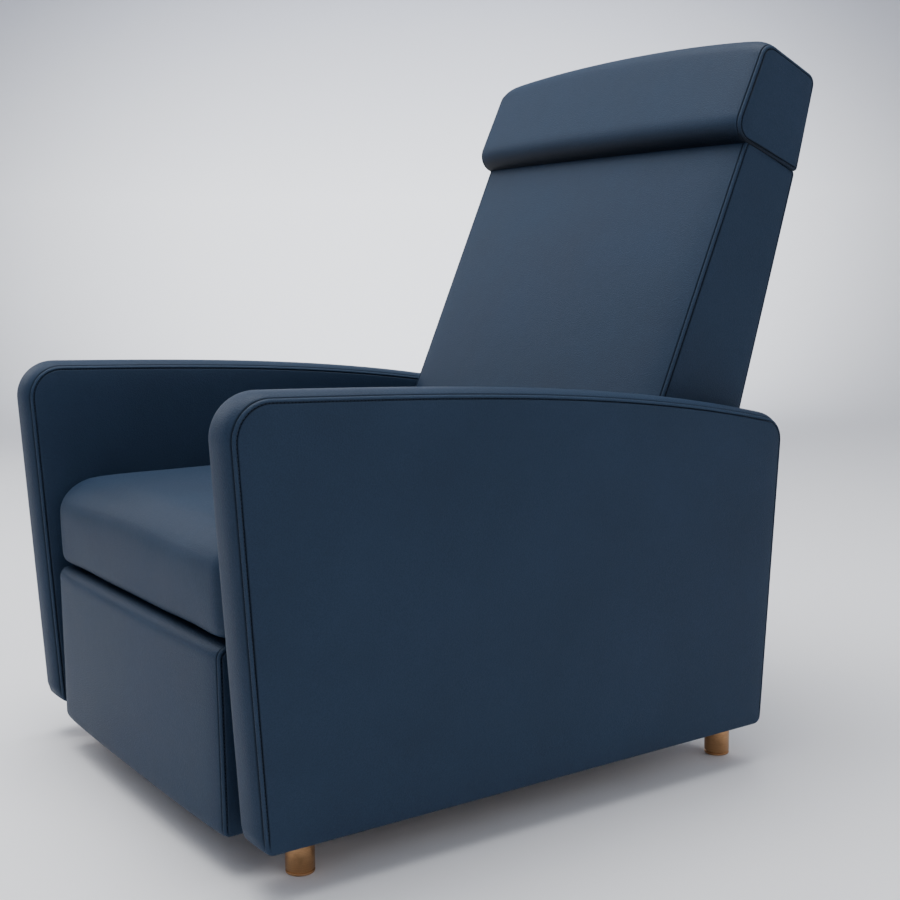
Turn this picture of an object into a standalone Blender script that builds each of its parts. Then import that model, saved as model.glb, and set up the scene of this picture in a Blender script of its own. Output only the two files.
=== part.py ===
"""Patient recliner chair: padded arm boxes on bronze feet, a seat carriage on rollers,
a reclining back with a headrest roll, and a legrest on a folding linkage.

Metres, +Z up. The chair faces -Y and is symmetric about X = 0. The origin is on the
floor, below the middle of the chair.
"""

import math

import bmesh
import bpy
from mathutils import Matrix, Vector

# ---------------------------------------------------------------- driving dimensions
GAP = 0.0003                 # clearance between pieces that touch

OVERALL_WIDTH = 0.790
ARM_THICKNESS = 0.070
ARM_BOTTOM_Z = 0.060
ARM_FRONT_Y = -0.480         # at the arm's bottom
ARM_REAR_Y = 0.337           # at the arm's bottom
ARM_FRONT_LEAN = -0.0525     # dy/dz, the front edge leans out at the top
ARM_REAR_LEAN = 0.080
ARM_FRONT_HEIGHT = 0.5975
ARM_TOP_SLOPE = 0.037        # drop of the arm's top per metre
ARM_TOP_CURVE = 0.0875       # drop per metre cubed
ARM_CORNERS = {"front_bottom": 0.012, "front_top": 0.048, "rear_top": 0.034, "rear_bottom": 0.012}
ARM_INNER_ROUND = 0.003      # least corner radius inside the boxing band
ARM_BAND = 0.015             # thickness of the padded boxing band
ARM_BOARD = 0.018            # plywood side frame
EDGE_ROUND = 0.006           # soft edge of the padded panels

FOOT_DIAMETER = 0.037
FOOT_FRONT_INSET = 0.078     # from the arm's front edge, along Y
FOOT_REAR_INSET = 0.022      # from the arm's rear edge
FOOT_PLATE = (0.060, 0.040, 0.003)
FOOT_CHAMFER = 0.0015
DUST_COVER = 0.0012
DUST_COVER_EDGE = 0.003      # from the dust cover to the foot plates

BASE_RAIL = (0.0277, 0.040)  # width, height
BASE_FRONT_RAIL_INSET = 0.185            # from the arm's front edge
BASE_RAIL_TO_APRON = 0.001
SIDE_RAIL_INSET = 0.050                  # from the arm's front edge
APRON_THICKNESS = 0.020
APRON_INSET = 0.005                      # from the arm's rear edge
APRON_TOP_Z = 0.285

SEAT_SIDE_GAP = 0.0105       # from the seat cushion to each arm
SEAT_OVERHANG = 0.008        # in front of the arm's bottom edge
SEAT_BOTTOM_Z = 0.2947
SEAT_TOP_Z = 0.462           # at the crown
SEAT_CROWN = 0.014           # how much lower the cushion's top is at its ends
SEAT_FRONT_ROUND = 0.055
SEAT_EDGE = 0.014            # how far its ends are rounded in
SEAT_BACK_GAP = 0.009

BACK_SIDE_GAP = 0.0025       # from the back to each arm
BACK_LEAN = math.radians(24.0)
BACK_REAR_LEAN = math.radians(17.3)
BACK_BOTTOM_Z = 0.330
BACK_BOTTOM_FRONT_Y = 0.103
BACK_BOTTOM_DEPTH = 0.1975
BACK_LENGTH = 0.647          # from the bottom to the headrest crease, along the front face
BACK_FOAM = 0.070
BACK_EDGE = 0.012            # rounding of its top front edge
BACK_SIDE_PAD = 0.015
BACK_REAR_PAD = 0.008
BACK_SKIRT = (0.006, 0.080)  # thickness, height of the flap below the back
POST_DEPTH = 0.034
POST_WIDTH = 0.028
POST_ENDS = (0.005, 0.020)   # from the back's bottom and below its top
BACK_RAIL_HEIGHT = 0.060
BACK_RAIL_DROPS = {"top": 0.090, "bottom": 0.560}    # below the top of the back
SKIRT_CLEARANCE = 0.005      # from the flap to the side plates

HEADREST_OVERHANG = 0.0005    # beyond the arms' inner faces
HEADREST_HEIGHT = 0.145
HEADREST_ARCH = 0.018        # rise of its top at the middle
HEADREST_PROJECTION = 0.0305
HEADREST_TOP_DEPTH = 0.121
HEADREST_TOP_LEAN = 0.004    # its top front edge is set back
HEADREST_LIFT = 0.0008       # clearance over the back's pieces
HEADREST_EDGE = 0.003
HEADREST_ROUNDS = {"front_bottom": 0.034, "rear_top": 0.014, "front_top": 0.020}

PLATE = 0.004                # steel plates and links
PLATE_GAP = 0.0005
PIVOT_RADIUS = 0.003
PIVOT_HEAD = 0.005
PIVOT_CLEARANCE = 0.0003
BACK_PIVOT_RADIUS = 0.005
SEAT_PLATE_INSET = 0.040     # from the arm to the inner face of the carriage side plate
SEAT_PLATE_NOSE = 0.018      # metal round its end pivots
SEAT_PLATE_LOW_Z = 0.196
SEAT_PLATE_FLAT = (-0.150, 0.160)        # where its lower edge is level
SEAT_PLATE_STEP = 0.050      # from the back pivot's tower to the level top edge
HINGE_PLATE_TOP = (0.256, 0.460, 0.014)  # y, z and radius of the hinge plate's upper end
HINGE_PLATE_EYE = 0.016
BOLT_HEAD = 0.004            # wider than the bolt
PIN_HEAD_LENGTH = 0.0025
BACK_PIVOT = (0.200, 0.300)  # (y, z)

ROLLER_RADIUS = 0.014
ROLLER_WIDTH = 0.013
ROLLER_Z = 0.2235
ROLLER_FRONT_Y = -0.200
ROLLER_REAR_Y = 0.120
ROLLER_TRAVEL = 0.070
ROLLER_TO_WEB = 0.003
AXLE_TO_WEB = 0.002
AXLE_RADIUS = 0.005
CHANNEL_WALL = 0.003
CHANNEL_DEPTH = 0.0245
CHANNEL_CLEARANCE = 0.0005
CHANNEL_END = 0.030          # channel beyond the rollers' travel

SEAT_RAIL = (0.040, 0.012)   # width, height
SEAT_RAIL_INSET = 0.006      # from the cushion's side
SEAT_FRONT_RAIL_Y = -0.410
SEAT_REAR_RAIL_Y = 0.050
WEBBING = 0.0028             # thickness of the woven seat mat
WEBBING_SIDE_INSET = 0.040
WEBBING_STRAP = 0.045
WEBBING_OPENINGS = (5, 4)
WEBBING_EDGE = 0.004

LINK_PIVOT = (-0.385, 0.220)             # rear link on the seat plate, (y, z)
LINK_LENGTH = 0.155
LINK_TILT = math.radians(7.0)            # folded links lean forward at the knee
LINK_HALF_WIDTH = 0.008
CONTROL_OFFSET = 0.047                   # knee pivot to control pivot
CONTROL_ANGLE = math.radians(22.0)
GUIDE_PIVOT_OFFSET = (0.0580, 0.0350)    # from the rear link's pivot
TAIL_OFFSET = (0.0210, -0.0066)          # front link's tail, from the knee
CROSS_TUBE_OFFSET = (0.075, -0.060)
CROSS_TUBE_RADIUS = 0.008
LINK_EYE = 0.001             # extra metal round the rear link's pivot
TUBE_EYE = 0.004
BRACKET_DROP = 0.050         # the ottoman bracket's foot below its pivot
BRACKET_RISE = 0.002

OTTOMAN_SIDE_GAP = 0.033     # from the footrest to each arm
OTTOMAN_BOTTOM_Z = 0.050
OTTOMAN_TO_SEAT = 0.0117     # below the seat cushion
OTTOMAN_SET_BACK = 0.001     # behind the cushion's front
OTTOMAN_PAD = 0.035
OTTOMAN_EDGE = 0.010
OTTOMAN_BOARD = 0.012
OTTOMAN_BOARD_INSET = 0.014

# ---------------------------------------------------------------- worked out from them
HALF_WIDTH = OVERALL_WIDTH / 2
ARM_INNER_X = HALF_WIDTH - ARM_THICKNESS
SEAT_HALF_WIDTH = ARM_INNER_X - SEAT_SIDE_GAP
BACK_HALF_WIDTH = ARM_INNER_X - BACK_SIDE_GAP
HEADREST_HALF_WIDTH = ARM_INNER_X + HEADREST_OVERHANG
OTTOMAN_HALF_WIDTH = ARM_INNER_X - OTTOMAN_SIDE_GAP
FOOT_X = ARM_INNER_X
FOOT_FRONT_Y = ARM_FRONT_Y + FOOT_FRONT_INSET
FOOT_REAR_Y = ARM_REAR_Y - FOOT_REAR_INSET
SEAT_FRONT_Y = ARM_FRONT_Y - SEAT_OVERHANG
SEAT_PLATE_X = ARM_INNER_X - SEAT_PLATE_INSET
REAR_LINK_X = SEAT_PLATE_X - PLATE_GAP - PLATE
FRONT_LINK_X = REAR_LINK_X - PLATE_GAP - PLATE
BRACKET_X = FRONT_LINK_X - PLATE_GAP - PLATE
CONTROL_LINK_X = BRACKET_X - PLATE_GAP - PLATE
GUIDE_LINK_X = CONTROL_LINK_X - PIN_HEAD_LENGTH - 2 * PLATE_GAP - PLATE
HINGE_PLATE_X = SEAT_PLATE_X + PLATE + 3 * PLATE_GAP
SEAT_PLATE_TOP_Z = SEAT_BOTTOM_Z - WEBBING - SEAT_RAIL[1] - 4 * GAP
OTTOMAN_TOP_Z = SEAT_BOTTOM_Z - OTTOMAN_TO_SEAT
OTTOMAN_FRONT_Y = SEAT_FRONT_Y + OTTOMAN_SET_BACK
OTTOMAN_BACK_Y = OTTOMAN_FRONT_Y + OTTOMAN_PAD + GAP + OTTOMAN_BOARD

# ---------------------------------------------------------------- scene and materials
for item in list(bpy.data.objects):
    bpy.data.objects.remove(item, do_unlink=True)

chair = bpy.data.collections.new("patient_recliner_chair")
bpy.context.scene.collection.children.link(chair)
cutters = bpy.data.collections.new("cutters")
bpy.context.scene.collection.children.link(cutters)


def make_material(name, colour, roughness, metallic=0.0):
    material = bpy.data.materials.new(name)
    material.use_nodes = True
    shader = material.node_tree.nodes["Principled BSDF"]
    shader.inputs["Base Color"].default_value = (*colour, 1.0)
    shader.inputs["Roughness"].default_value = roughness
    shader.inputs["Metallic"].default_value = metallic
    return material


UPHOLSTERY = ("upholstery", (0.024, 0.046, 0.085), 0.45)
PLYWOOD = ("plywood", (0.55, 0.38, 0.22), 0.65)
STEEL = ("zinc_steel", (0.55, 0.56, 0.58), 0.35, 1.0)
BLACK_STEEL = ("black_steel", (0.03, 0.03, 0.032), 0.45, 0.6)
BRONZE = ("bronze", (0.34, 0.19, 0.09), 0.35, 1.0)
NYLON = ("nylon", (0.75, 0.75, 0.72), 0.5)
DUST_CLOTH = ("dust_cloth", (0.02, 0.02, 0.02), 0.9)


# ---------------------------------------------------------------- outlines, as (a, b) points
def rounded(corners, steps=5):
    """A closed outline from (a, b, radius) corners, with an arc of `steps` at each."""
    outline = []
    for index, (a, b, radius) in enumerate(corners):
        here = Vector((a, b))
        before = Vector(corners[index - 1][:2])
        after = Vector(corners[(index + 1) % len(corners)][:2])
        if radius <= 0:
            outline.append(here)
            continue
        to_before = (before - here).normalized()
        to_after = (after - here).normalized()
        half = to_before.angle(to_after) / 2
        reach = radius / math.tan(half)
        middle = here + (to_before + to_after).normalized() * radius / math.sin(half)
        start = here + to_before * reach - middle
        turn = start.angle_signed(here + to_after * reach - middle)
        for step in range(steps + 1):
            outline.append(middle + Matrix.Rotation(-turn * step / steps, 2) @ start)
    return [tuple(point) for point in outline]


def inset(outline, distance):
    """The closed outline moved inwards by a distance; the outline runs anticlockwise."""
    moved = []
    for index, point in enumerate(outline):
        here = Vector(point)
        into = (here - Vector(outline[index - 1])).normalized()
        out_of = (Vector(outline[(index + 1) % len(outline)]) - here).normalized()
        normal_in = Vector((-into.y, into.x))
        normal_out = Vector((-out_of.y, out_of.x))
        bisector = (normal_in + normal_out).normalized()
        moved.append(tuple(here + bisector * distance / bisector.dot(normal_in)))
    return moved


def circle(a, b, radius, sides=16):
    turns = [2 * math.pi * index / sides for index in range(sides)]
    return [(a + radius * math.cos(turn), b + radius * math.sin(turn)) for turn in turns]


def hull(points):
    """The convex outline around the points, anticlockwise."""
    ordered = sorted(set(points))

    def chain(sequence):
        kept = []
        for p in sequence:
            while len(kept) > 1:
                (ax, ay), (bx, by) = kept[-2], kept[-1]
                if (bx - ax) * (p[1] - ay) - (by - ay) * (p[0] - ax) > 1e-12:
                    break
                kept.pop()
            kept.append(p)
        return kept[:-1]

    return chain(ordered) + chain(reversed(ordered))


def around(*eyes):
    """The convex outline around round eyes, each (a, b, radius)."""
    return hull([point for a, b, radius in eyes for point in circle(a, b, radius, 20)])


def stroke(path, half_width, steps=6):
    """The outline of a bent bar along a path, with round ends and mitred bends."""
    points = [Vector(point) for point in path]
    runs = (points, points[::-1])
    outline = []
    for run in runs:
        for index in range(1, len(run) - 1):
            into = (run[index] - run[index - 1]).normalized()
            out_of = (run[index + 1] - run[index]).normalized()
            normal = Vector((-into.y, into.x))
            bisector = (normal + Vector((-out_of.y, out_of.x))).normalized()
            outline.append(run[index] + bisector * half_width / bisector.dot(normal))
        end = run[-1]
        direction = (end - run[-2]).normalized()
        normal = Vector((-direction.y, direction.x))
        for step in range(2 * steps + 1):
            turn = Matrix.Rotation(-math.pi * step / (2 * steps), 2)
            outline.append(end + turn @ normal * half_width)
    return remove_repeats([tuple(point) for point in outline])


def remove_repeats(outline, closest=1e-6):
    kept = []
    for point in outline:
        if not kept or (Vector(point) - Vector(kept[-1])).length > closest:
            kept.append(point)
    if (Vector(kept[0]) - Vector(kept[-1])).length <= closest:
        kept.pop()
    return kept


# ---------------------------------------------------------------- building blocks
PLANES = {
    "YZ": Matrix(((0, 0, 1), (1, 0, 0), (0, 1, 0))),
    "XZ": Matrix(((1, 0, 0), (0, 0, -1), (0, 1, 0))),
    "XY": Matrix.Identity(3),
}
materials = {}


def finish(obj, paint, smooth=False):
    """Put an object in the chair's collection with its own material."""
    name, colour, roughness, *metallic = paint
    if name not in materials:
        materials[name] = make_material(name, colour, roughness, *metallic)
    obj.data.materials.clear()
    obj.data.materials.append(materials[name])
    if smooth and obj.type == "MESH":
        obj.data.shade_smooth()
        obj.data.set_sharp_from_angle(angle=math.radians(40))
    if obj.name not in chair.objects:
        chair.objects.link(obj)
    for other in list(obj.users_collection):
        if other != chair:
            other.objects.unlink(obj)
    return obj


def plate(name, loops, low, high, paint, plane="YZ", edge=0.0):
    """A flat outline, with holes as further loops, between two levels across its plane."""
    outline = bpy.data.curves.new(name, "CURVE")
    outline.dimensions = "2D"
    outline.fill_mode = "BOTH"
    outline.extrude = (high - low) / 2 - edge
    outline.bevel_depth = edge
    outline.bevel_resolution = 1
    outline.offset = -edge
    for loop in loops:
        spline = outline.splines.new("POLY")
        spline.points.add(len(loop) - 1)
        for point, (a, b) in zip(spline.points, loop):
            point.co = (a, b, 0.0, 1.0)
        spline.use_cyclic_u = True
    obj = bpy.data.objects.new(name, outline)
    turn = PLANES[plane]
    across = turn @ Vector((0.0, 0.0, 1.0))
    middle = (low + high) / 2 * sum(across)
    obj.matrix_world = Matrix.Translation(across * middle) @ turn.to_4x4()
    return finish(obj, paint)


def box(name, low, high, paint, edge=0.0, segments=2):
    mesh = bpy.data.meshes.new(name)
    shape = bmesh.new()
    bmesh.ops.create_cube(shape, size=1.0)
    size = Vector(high) - Vector(low)
    bmesh.ops.scale(shape, vec=size, verts=shape.verts)
    shape.to_mesh(mesh)
    shape.free()
    obj = bpy.data.objects.new(name, mesh)
    obj.location = (Vector(high) + Vector(low)) / 2
    if edge > 0:
        bevel = obj.modifiers.new("soft_edges", "BEVEL")
        bevel.width = edge
        bevel.segments = segments
    return finish(obj, paint, smooth=edge > 0)


def turned(name, profile, centre, axis, paint, sides=20):
    """A turned solid from (radius, height) points, outer side from top to bottom."""
    mesh = bpy.data.meshes.new(name)
    points = [(radius, 0.0, height) for radius, height in profile]
    mesh.from_pydata(points, [(i, i + 1) for i in range(len(points) - 1)], [])
    obj = bpy.data.objects.new(name, mesh)
    screw = obj.modifiers.new("turn", "SCREW")
    screw.steps = sides
    screw.render_steps = sides
    screw.use_merge_vertices = True
    screw.merge_threshold = 1e-5
    screw.use_smooth_shade = True
    facing = {"X": Matrix.Rotation(math.pi / 2, 4, "Y"), "Z": Matrix.Identity(4)}[axis]
    obj.matrix_world = Matrix.Translation(centre) @ facing
    return finish(obj, paint)


def lofted(name, outline, half_width, shift, paint, edge, stations=8):
    """An outline carried along X: shift moves its points, and both ends are drawn in."""
    shares = [step / stations for step in range(-stations, stations + 1)]
    inner = half_width - edge
    rings = [(-half_width, -1.0, edge)]
    rings += [(share * inner, share, 0.0) for share in shares]
    rings.append((half_width, 1.0, edge))
    points, faces = [], []
    count = len(outline)
    for x, share, drawn_in in rings:
        for y, z in inset(outline, drawn_in) if drawn_in else outline:
            points.append((x, *shift(abs(share), y, z)))
    for ring in range(len(rings) - 1):
        for index in range(count):
            following = (index + 1) % count
            here, there = ring * count, (ring + 1) * count
            faces.append((here + index, there + index, there + following, here + following))
    last = (len(rings) - 1) * count
    faces.append(tuple(range(count)))
    faces.append(tuple(last + index for index in reversed(range(count))))
    mesh = bpy.data.meshes.new(name)
    mesh.from_pydata(points, [], faces)
    shape = bmesh.new()
    shape.from_mesh(mesh)
    bmesh.ops.triangulate(shape, faces=shape.faces)
    bmesh.ops.recalc_face_normals(shape, faces=shape.faces)
    shape.to_mesh(mesh)
    shape.free()
    return finish(bpy.data.objects.new(name, mesh), paint)


def pin_profile(shank, length, head=None, head_length=PIN_HEAD_LENGTH):
    """A pin along its axis: its head, if it has one, at the high end."""
    if head is None:
        return [(0.0, length), (shank, length), (shank, 0.0), (0.0, 0.0)]
    top = length + head_length
    return [(0.0, top), (head, top), (head, length), (shank, length), (shank, 0.0), (0.0, 0.0)]


def pin(name, foot_x, head_x, place, shank, paint, head=None, sides=16):
    """A pin along X from its plain end to its head, at a (y, z) place."""
    obj = turned(name, pin_profile(shank, abs(head_x - foot_x), head), (foot_x, *place), "X",
                 paint, sides)
    if head_x < foot_x:
        turn = Matrix.Rotation(-math.pi / 2, 4, "Y")
        obj.matrix_world = Matrix.Translation((foot_x, *place)) @ turn
    return obj


def as_mesh(obj):
    """Swap a curve object for the same shape as a welded mesh."""
    bpy.context.view_layer.update()
    evaluated = obj.evaluated_get(bpy.context.evaluated_depsgraph_get())
    mesh = bpy.data.meshes.new_from_object(evaluated)
    shape = bmesh.new()
    shape.from_mesh(mesh)
    bmesh.ops.remove_doubles(shape, verts=shape.verts, dist=1e-6)
    shape.to_mesh(mesh)
    shape.free()
    name, matrix = obj.name, obj.matrix_world.copy()
    paint = obj.data.materials[0]
    bpy.data.objects.remove(obj, do_unlink=True)
    swapped = bpy.data.objects.new(name, mesh)
    swapped.matrix_world = matrix
    mesh.materials.clear()
    mesh.materials.append(paint)
    chair.objects.link(swapped)
    return swapped


def joined(obj, *additions):
    """Join studs or pads to an object with Boolean unions."""
    base = as_mesh(obj)
    for addition in additions:
        tool = as_mesh(addition)
        tool.hide_render = True
        tool.display_type = "WIRE"
        chair.objects.unlink(tool)
        cutters.objects.link(tool)
        union = base.modifiers.new("join", "BOOLEAN")
        union.operation = "UNION"
        union.object = tool
    return base


def mirrored(low, high, side):
    """The X range of a piece on one side of the chair."""
    return (low, high) if side > 0 else (-high, -low)


SIDES = {"left": 1, "right": -1}      # the sitter's left is +X
bodies = {}


def body(name, joint_place, pieces):
    """An empty on the joint's axis that carries the body's pieces."""
    axis = bpy.data.objects.new(name + "_axis", None)
    axis.location = joint_place
    chair.objects.link(axis)
    bpy.context.view_layer.update()
    for piece in pieces:
        piece.parent = axis
        piece.matrix_parent_inverse = axis.matrix_world.inverted()
    bodies[name] = axis
    return axis


# ---------------------------------------------------------------- arms
def arm_top_z(y):
    run = y - ARM_FRONT_Y
    return ARM_FRONT_HEIGHT - ARM_TOP_SLOPE * run - ARM_TOP_CURVE * max(run, 0.0) ** 3


def arm_outline(margin=0.0):
    """Side view of an arm, less a margin: leaning front and rear and a gently arched top."""
    height = ARM_FRONT_HEIGHT - ARM_BOTTOM_Z
    front_top_y = ARM_FRONT_Y + ARM_FRONT_LEAN * height
    rear_top_y = ARM_REAR_Y + ARM_REAR_LEAN * (arm_top_z(ARM_REAR_Y) - ARM_BOTTOM_Z)
    corners = [
        (ARM_FRONT_Y, ARM_BOTTOM_Z, ARM_CORNERS["front_bottom"]),
        (ARM_REAR_Y, ARM_BOTTOM_Z, ARM_CORNERS["rear_bottom"]),
        (rear_top_y, arm_top_z(rear_top_y), ARM_CORNERS["rear_top"]),
    ]
    arch_steps = 7
    for step in range(arch_steps - 1, 0, -1):
        y = front_top_y + (rear_top_y - front_top_y) * step / arch_steps
        corners.append((y, arm_top_z(y), 0.0))
    corners.append((front_top_y, arm_top_z(front_top_y), ARM_CORNERS["front_top"]))
    places = inset([(y, z) for y, z, _ in corners], margin)
    radii = [max(radius - margin, ARM_INNER_ROUND) if radius else 0.0 for _, _, radius in corners]
    return rounded([(y, z, radius) for (y, z), radius in zip(places, radii)])


def make_arms():
    outline = arm_outline()
    inner_loop = arm_outline(ARM_BAND)
    filling = arm_outline(ARM_BAND + GAP)
    board_low = ARM_INNER_X + (ARM_THICKNESS - ARM_BOARD) / 2
    board_high = board_low + ARM_BOARD
    for side, sign in SIDES.items():
        low, high = mirrored(ARM_INNER_X, HALF_WIDTH, sign)
        plate(f"arm_band_{side}", [outline, inner_loop], low, high, UPHOLSTERY)
        low, high = mirrored(board_low, board_high, sign)
        plate(f"arm_frame_{side}", [filling], low, high, PLYWOOD)
        low, high = mirrored(board_high + GAP, HALF_WIDTH, sign)
        plate(f"arm_outer_panel_{side}", [filling], low, high, UPHOLSTERY)
        low, high = mirrored(ARM_INNER_X, board_low - GAP, sign)
        plate(f"arm_inner_panel_{side}", [filling], low, high, UPHOLSTERY)


# ---------------------------------------------------------------- base
BASE_LOW_Z = ARM_BOTTOM_Z + GAP
BASE_HIGH_Z = BASE_LOW_Z + BASE_RAIL[1]
SIDE_RAIL_HIGH_X = ARM_INNER_X - GAP
SIDE_RAIL_LOW_X = SIDE_RAIL_HIGH_X - BASE_RAIL[0]
BASE_CROSS_X = SIDE_RAIL_LOW_X - GAP
SIDE_RAIL_FRONT_Y = ARM_FRONT_Y + SIDE_RAIL_INSET
APRON_REAR_Y = ARM_REAR_Y - APRON_INSET
APRON_FRONT_Y = APRON_REAR_Y - APRON_THICKNESS
BASE_FRONT_RAIL_Y = ARM_FRONT_Y + BASE_FRONT_RAIL_INSET
BASE_REAR_RAIL_Y = APRON_FRONT_Y - BASE_RAIL_TO_APRON - BASE_RAIL[0] / 2


def make_base():
    half_rail = BASE_RAIL[0] / 2
    for side, sign in SIDES.items():
        low, high = mirrored(SIDE_RAIL_LOW_X, SIDE_RAIL_HIGH_X, sign)
        box(f"base_side_rail_{side}", (low, SIDE_RAIL_FRONT_Y, BASE_LOW_Z),
            (high, APRON_FRONT_Y - GAP, BASE_HIGH_Z), PLYWOOD)
    for name, y in (("base_front_rail", BASE_FRONT_RAIL_Y), ("base_rear_rail", BASE_REAR_RAIL_Y)):
        box(name, (-BASE_CROSS_X, y - half_rail, BASE_LOW_Z),
            (BASE_CROSS_X, y + half_rail, BASE_HIGH_Z), PLYWOOD)
    box("rear_apron", (-SIDE_RAIL_HIGH_X, APRON_FRONT_Y, BASE_LOW_Z),
        (SIDE_RAIL_HIGH_X, APRON_REAR_Y, APRON_TOP_Z), UPHOLSTERY, EDGE_ROUND)
    cover_x = FOOT_X - FOOT_PLATE[0] / 2 - DUST_COVER_EDGE
    box("dust_cover", (-cover_x, BASE_FRONT_RAIL_Y - half_rail, ARM_BOTTOM_Z - DUST_COVER),
        (cover_x, BASE_REAR_RAIL_Y + half_rail, ARM_BOTTOM_Z), DUST_CLOTH)
    for side, sign in SIDES.items():
        for end, foot_y in (("front", FOOT_FRONT_Y), ("rear", FOOT_REAR_Y)):
            make_foot(f"foot_{end}_{side}", sign * FOOT_X, foot_y)


def make_foot(name, x, y):
    """A turned bronze foot with a narrow chamfer at the floor, welded to its mounting plate."""
    width, depth, height = FOOT_PLATE
    plate_high = ARM_BOTTOM_Z - GAP
    square = [
        (x - width / 2, y - depth / 2), (x + width / 2, y - depth / 2),
        (x + width / 2, y + depth / 2), (x - width / 2, y + depth / 2),
    ]
    base = plate(name, [square], plate_high - height, plate_high, BRONZE, "XY")
    radius = FOOT_DIAMETER / 2
    top = plate_high - height / 2
    profile = [
        (0.0, top), (radius, top), (radius, FOOT_CHAMFER), (radius - FOOT_CHAMFER, 0.0),
        (0.0, 0.0),
    ]
    joined(base, turned(name + "_post", profile, (x, y, 0.0), "Z", BRONZE, 28))


def make_channels():
    """C channels on the arms' inner faces, open towards the carriage."""
    outer = SIDE_RAIL_HIGH_X
    inner = outer - CHANNEL_DEPTH
    web = outer - CHANNEL_WALL
    low = ROLLER_Z - ROLLER_RADIUS - CHANNEL_CLEARANCE
    high = ROLLER_Z + ROLLER_RADIUS + CHANNEL_CLEARANCE
    section = [
        (inner, low - CHANNEL_WALL), (outer, low - CHANNEL_WALL), (outer, high + CHANNEL_WALL),
        (inner, high + CHANNEL_WALL), (inner, high), (web, high), (web, low), (inner, low),
    ]
    front = ROLLER_FRONT_Y - ROLLER_TRAVEL - CHANNEL_END
    rear = ROLLER_REAR_Y + CHANNEL_END
    for side, sign in SIDES.items():
        loop = [(sign * x, z) for x, z in section]
        if sign < 0:
            loop.reverse()
        plate(f"track_channel_{side}", [loop], -rear, -front, STEEL, "XZ")


# ---------------------------------------------------------------- linkage places, as (y, z)
def knee_place():
    y, z = LINK_PIVOT
    return (y - LINK_LENGTH * math.sin(LINK_TILT), z - LINK_LENGTH * math.cos(LINK_TILT))


def beside(place, offset):
    return (place[0] + offset[0], place[1] + offset[1])


KNEE = knee_place()
CONTROL_ARM = (CONTROL_OFFSET * math.sin(CONTROL_ANGLE), CONTROL_OFFSET * math.cos(CONTROL_ANGLE))
CONTROL_KNEE = beside(KNEE, CONTROL_ARM)
OTTOMAN_PIVOT = LINK_PIVOT
OTTOMAN_CONTROL = beside(OTTOMAN_PIVOT, CONTROL_ARM)
GUIDE_PIVOT = beside(LINK_PIVOT, GUIDE_PIVOT_OFFSET)
TAIL = beside(KNEE, TAIL_OFFSET)
CROSS_TUBE = beside(LINK_PIVOT, CROSS_TUBE_OFFSET)
HOLE_RADIUS = PIVOT_RADIUS + PIVOT_CLEARANCE


def hole(place, radius=HOLE_RADIUS):
    return circle(*place, radius)


# ---------------------------------------------------------------- seat carriage
def make_carriage():
    pieces = []
    front_y, front_z = LINK_PIVOT
    pivot_y, pivot_z = BACK_PIVOT
    nose = SEAT_PLATE_NOSE
    low_front, low_rear = SEAT_PLATE_FLAT
    outline = rounded([
        (front_y - nose, front_z - nose, nose * 0.66), (low_front, SEAT_PLATE_LOW_Z, 0.0),
        (low_rear, SEAT_PLATE_LOW_Z, nose), (pivot_y + nose, pivot_z - nose * 0.66, nose * 0.5),
        (pivot_y + nose, pivot_z + nose, nose * 0.9), (pivot_y - nose, pivot_z + nose, nose * 0.9),
        (pivot_y - nose - SEAT_PLATE_STEP, SEAT_PLATE_TOP_Z, 0.0),
        (front_y - nose, SEAT_PLATE_TOP_Z, nose * 0.66),
    ])
    holes = [
        hole(BACK_PIVOT, BACK_PIVOT_RADIUS + PIVOT_CLEARANCE),
        hole((ROLLER_FRONT_Y, ROLLER_Z), AXLE_RADIUS + GAP),
        hole((ROLLER_REAR_Y, ROLLER_Z), AXLE_RADIUS + GAP),
    ]
    middle = SEAT_PLATE_X + PLATE / 2
    for side, sign in SIDES.items():
        low, high = mirrored(SEAT_PLATE_X, SEAT_PLATE_X + PLATE, sign)
        side_plate = plate(f"seat_plate_{side}", [outline, *holes], low, high, BLACK_STEEL)
        link_stud = pin("stud", sign * middle, sign * (REAR_LINK_X + GAP), LINK_PIVOT,
                        PIVOT_RADIUS, STEEL)
        guide_stud = pin("stud", sign * middle, sign * (GUIDE_LINK_X - GAP), GUIDE_PIVOT,
                         PIVOT_RADIUS, STEEL, PIVOT_HEAD)
        pieces.append(joined(side_plate, link_stud, guide_stud))
        pieces.append(pin(f"back_pivot_bolt_{side}", sign * (HINGE_PLATE_X + PLATE),
                          sign * (SEAT_PLATE_X - GAP), BACK_PIVOT, BACK_PIVOT_RADIUS, STEEL,
                          BACK_PIVOT_RADIUS + BOLT_HEAD, 20))
    half, height = SEAT_RAIL[0] / 2, SEAT_RAIL[1]
    rail_low = SEAT_PLATE_TOP_Z + GAP
    rail_x = SEAT_HALF_WIDTH - SEAT_RAIL_INSET
    for name, y, paint in (("seat_front_rail", SEAT_FRONT_RAIL_Y, UPHOLSTERY),
                           ("seat_rear_rail", SEAT_REAR_RAIL_Y, PLYWOOD)):
        pieces.append(box(name, (-rail_x, y - half, rail_low),
                          (rail_x, y + half, rail_low + height), paint))
    pieces.append(make_webbing(rail_low + height + GAP))
    axle_end = ARM_INNER_X - GAP - CHANNEL_WALL - AXLE_TO_WEB
    for end, y in (("front", ROLLER_FRONT_Y), ("rear", ROLLER_REAR_Y)):
        profile = pin_profile(AXLE_RADIUS, 2 * axle_end)
        pieces.append(turned(f"roller_axle_{end}", profile, (-axle_end, y, ROLLER_Z), "X", STEEL))
    pieces.append(make_seat_cushion())
    body("seat", (0.0, 0.0, ROLLER_Z), pieces)


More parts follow.
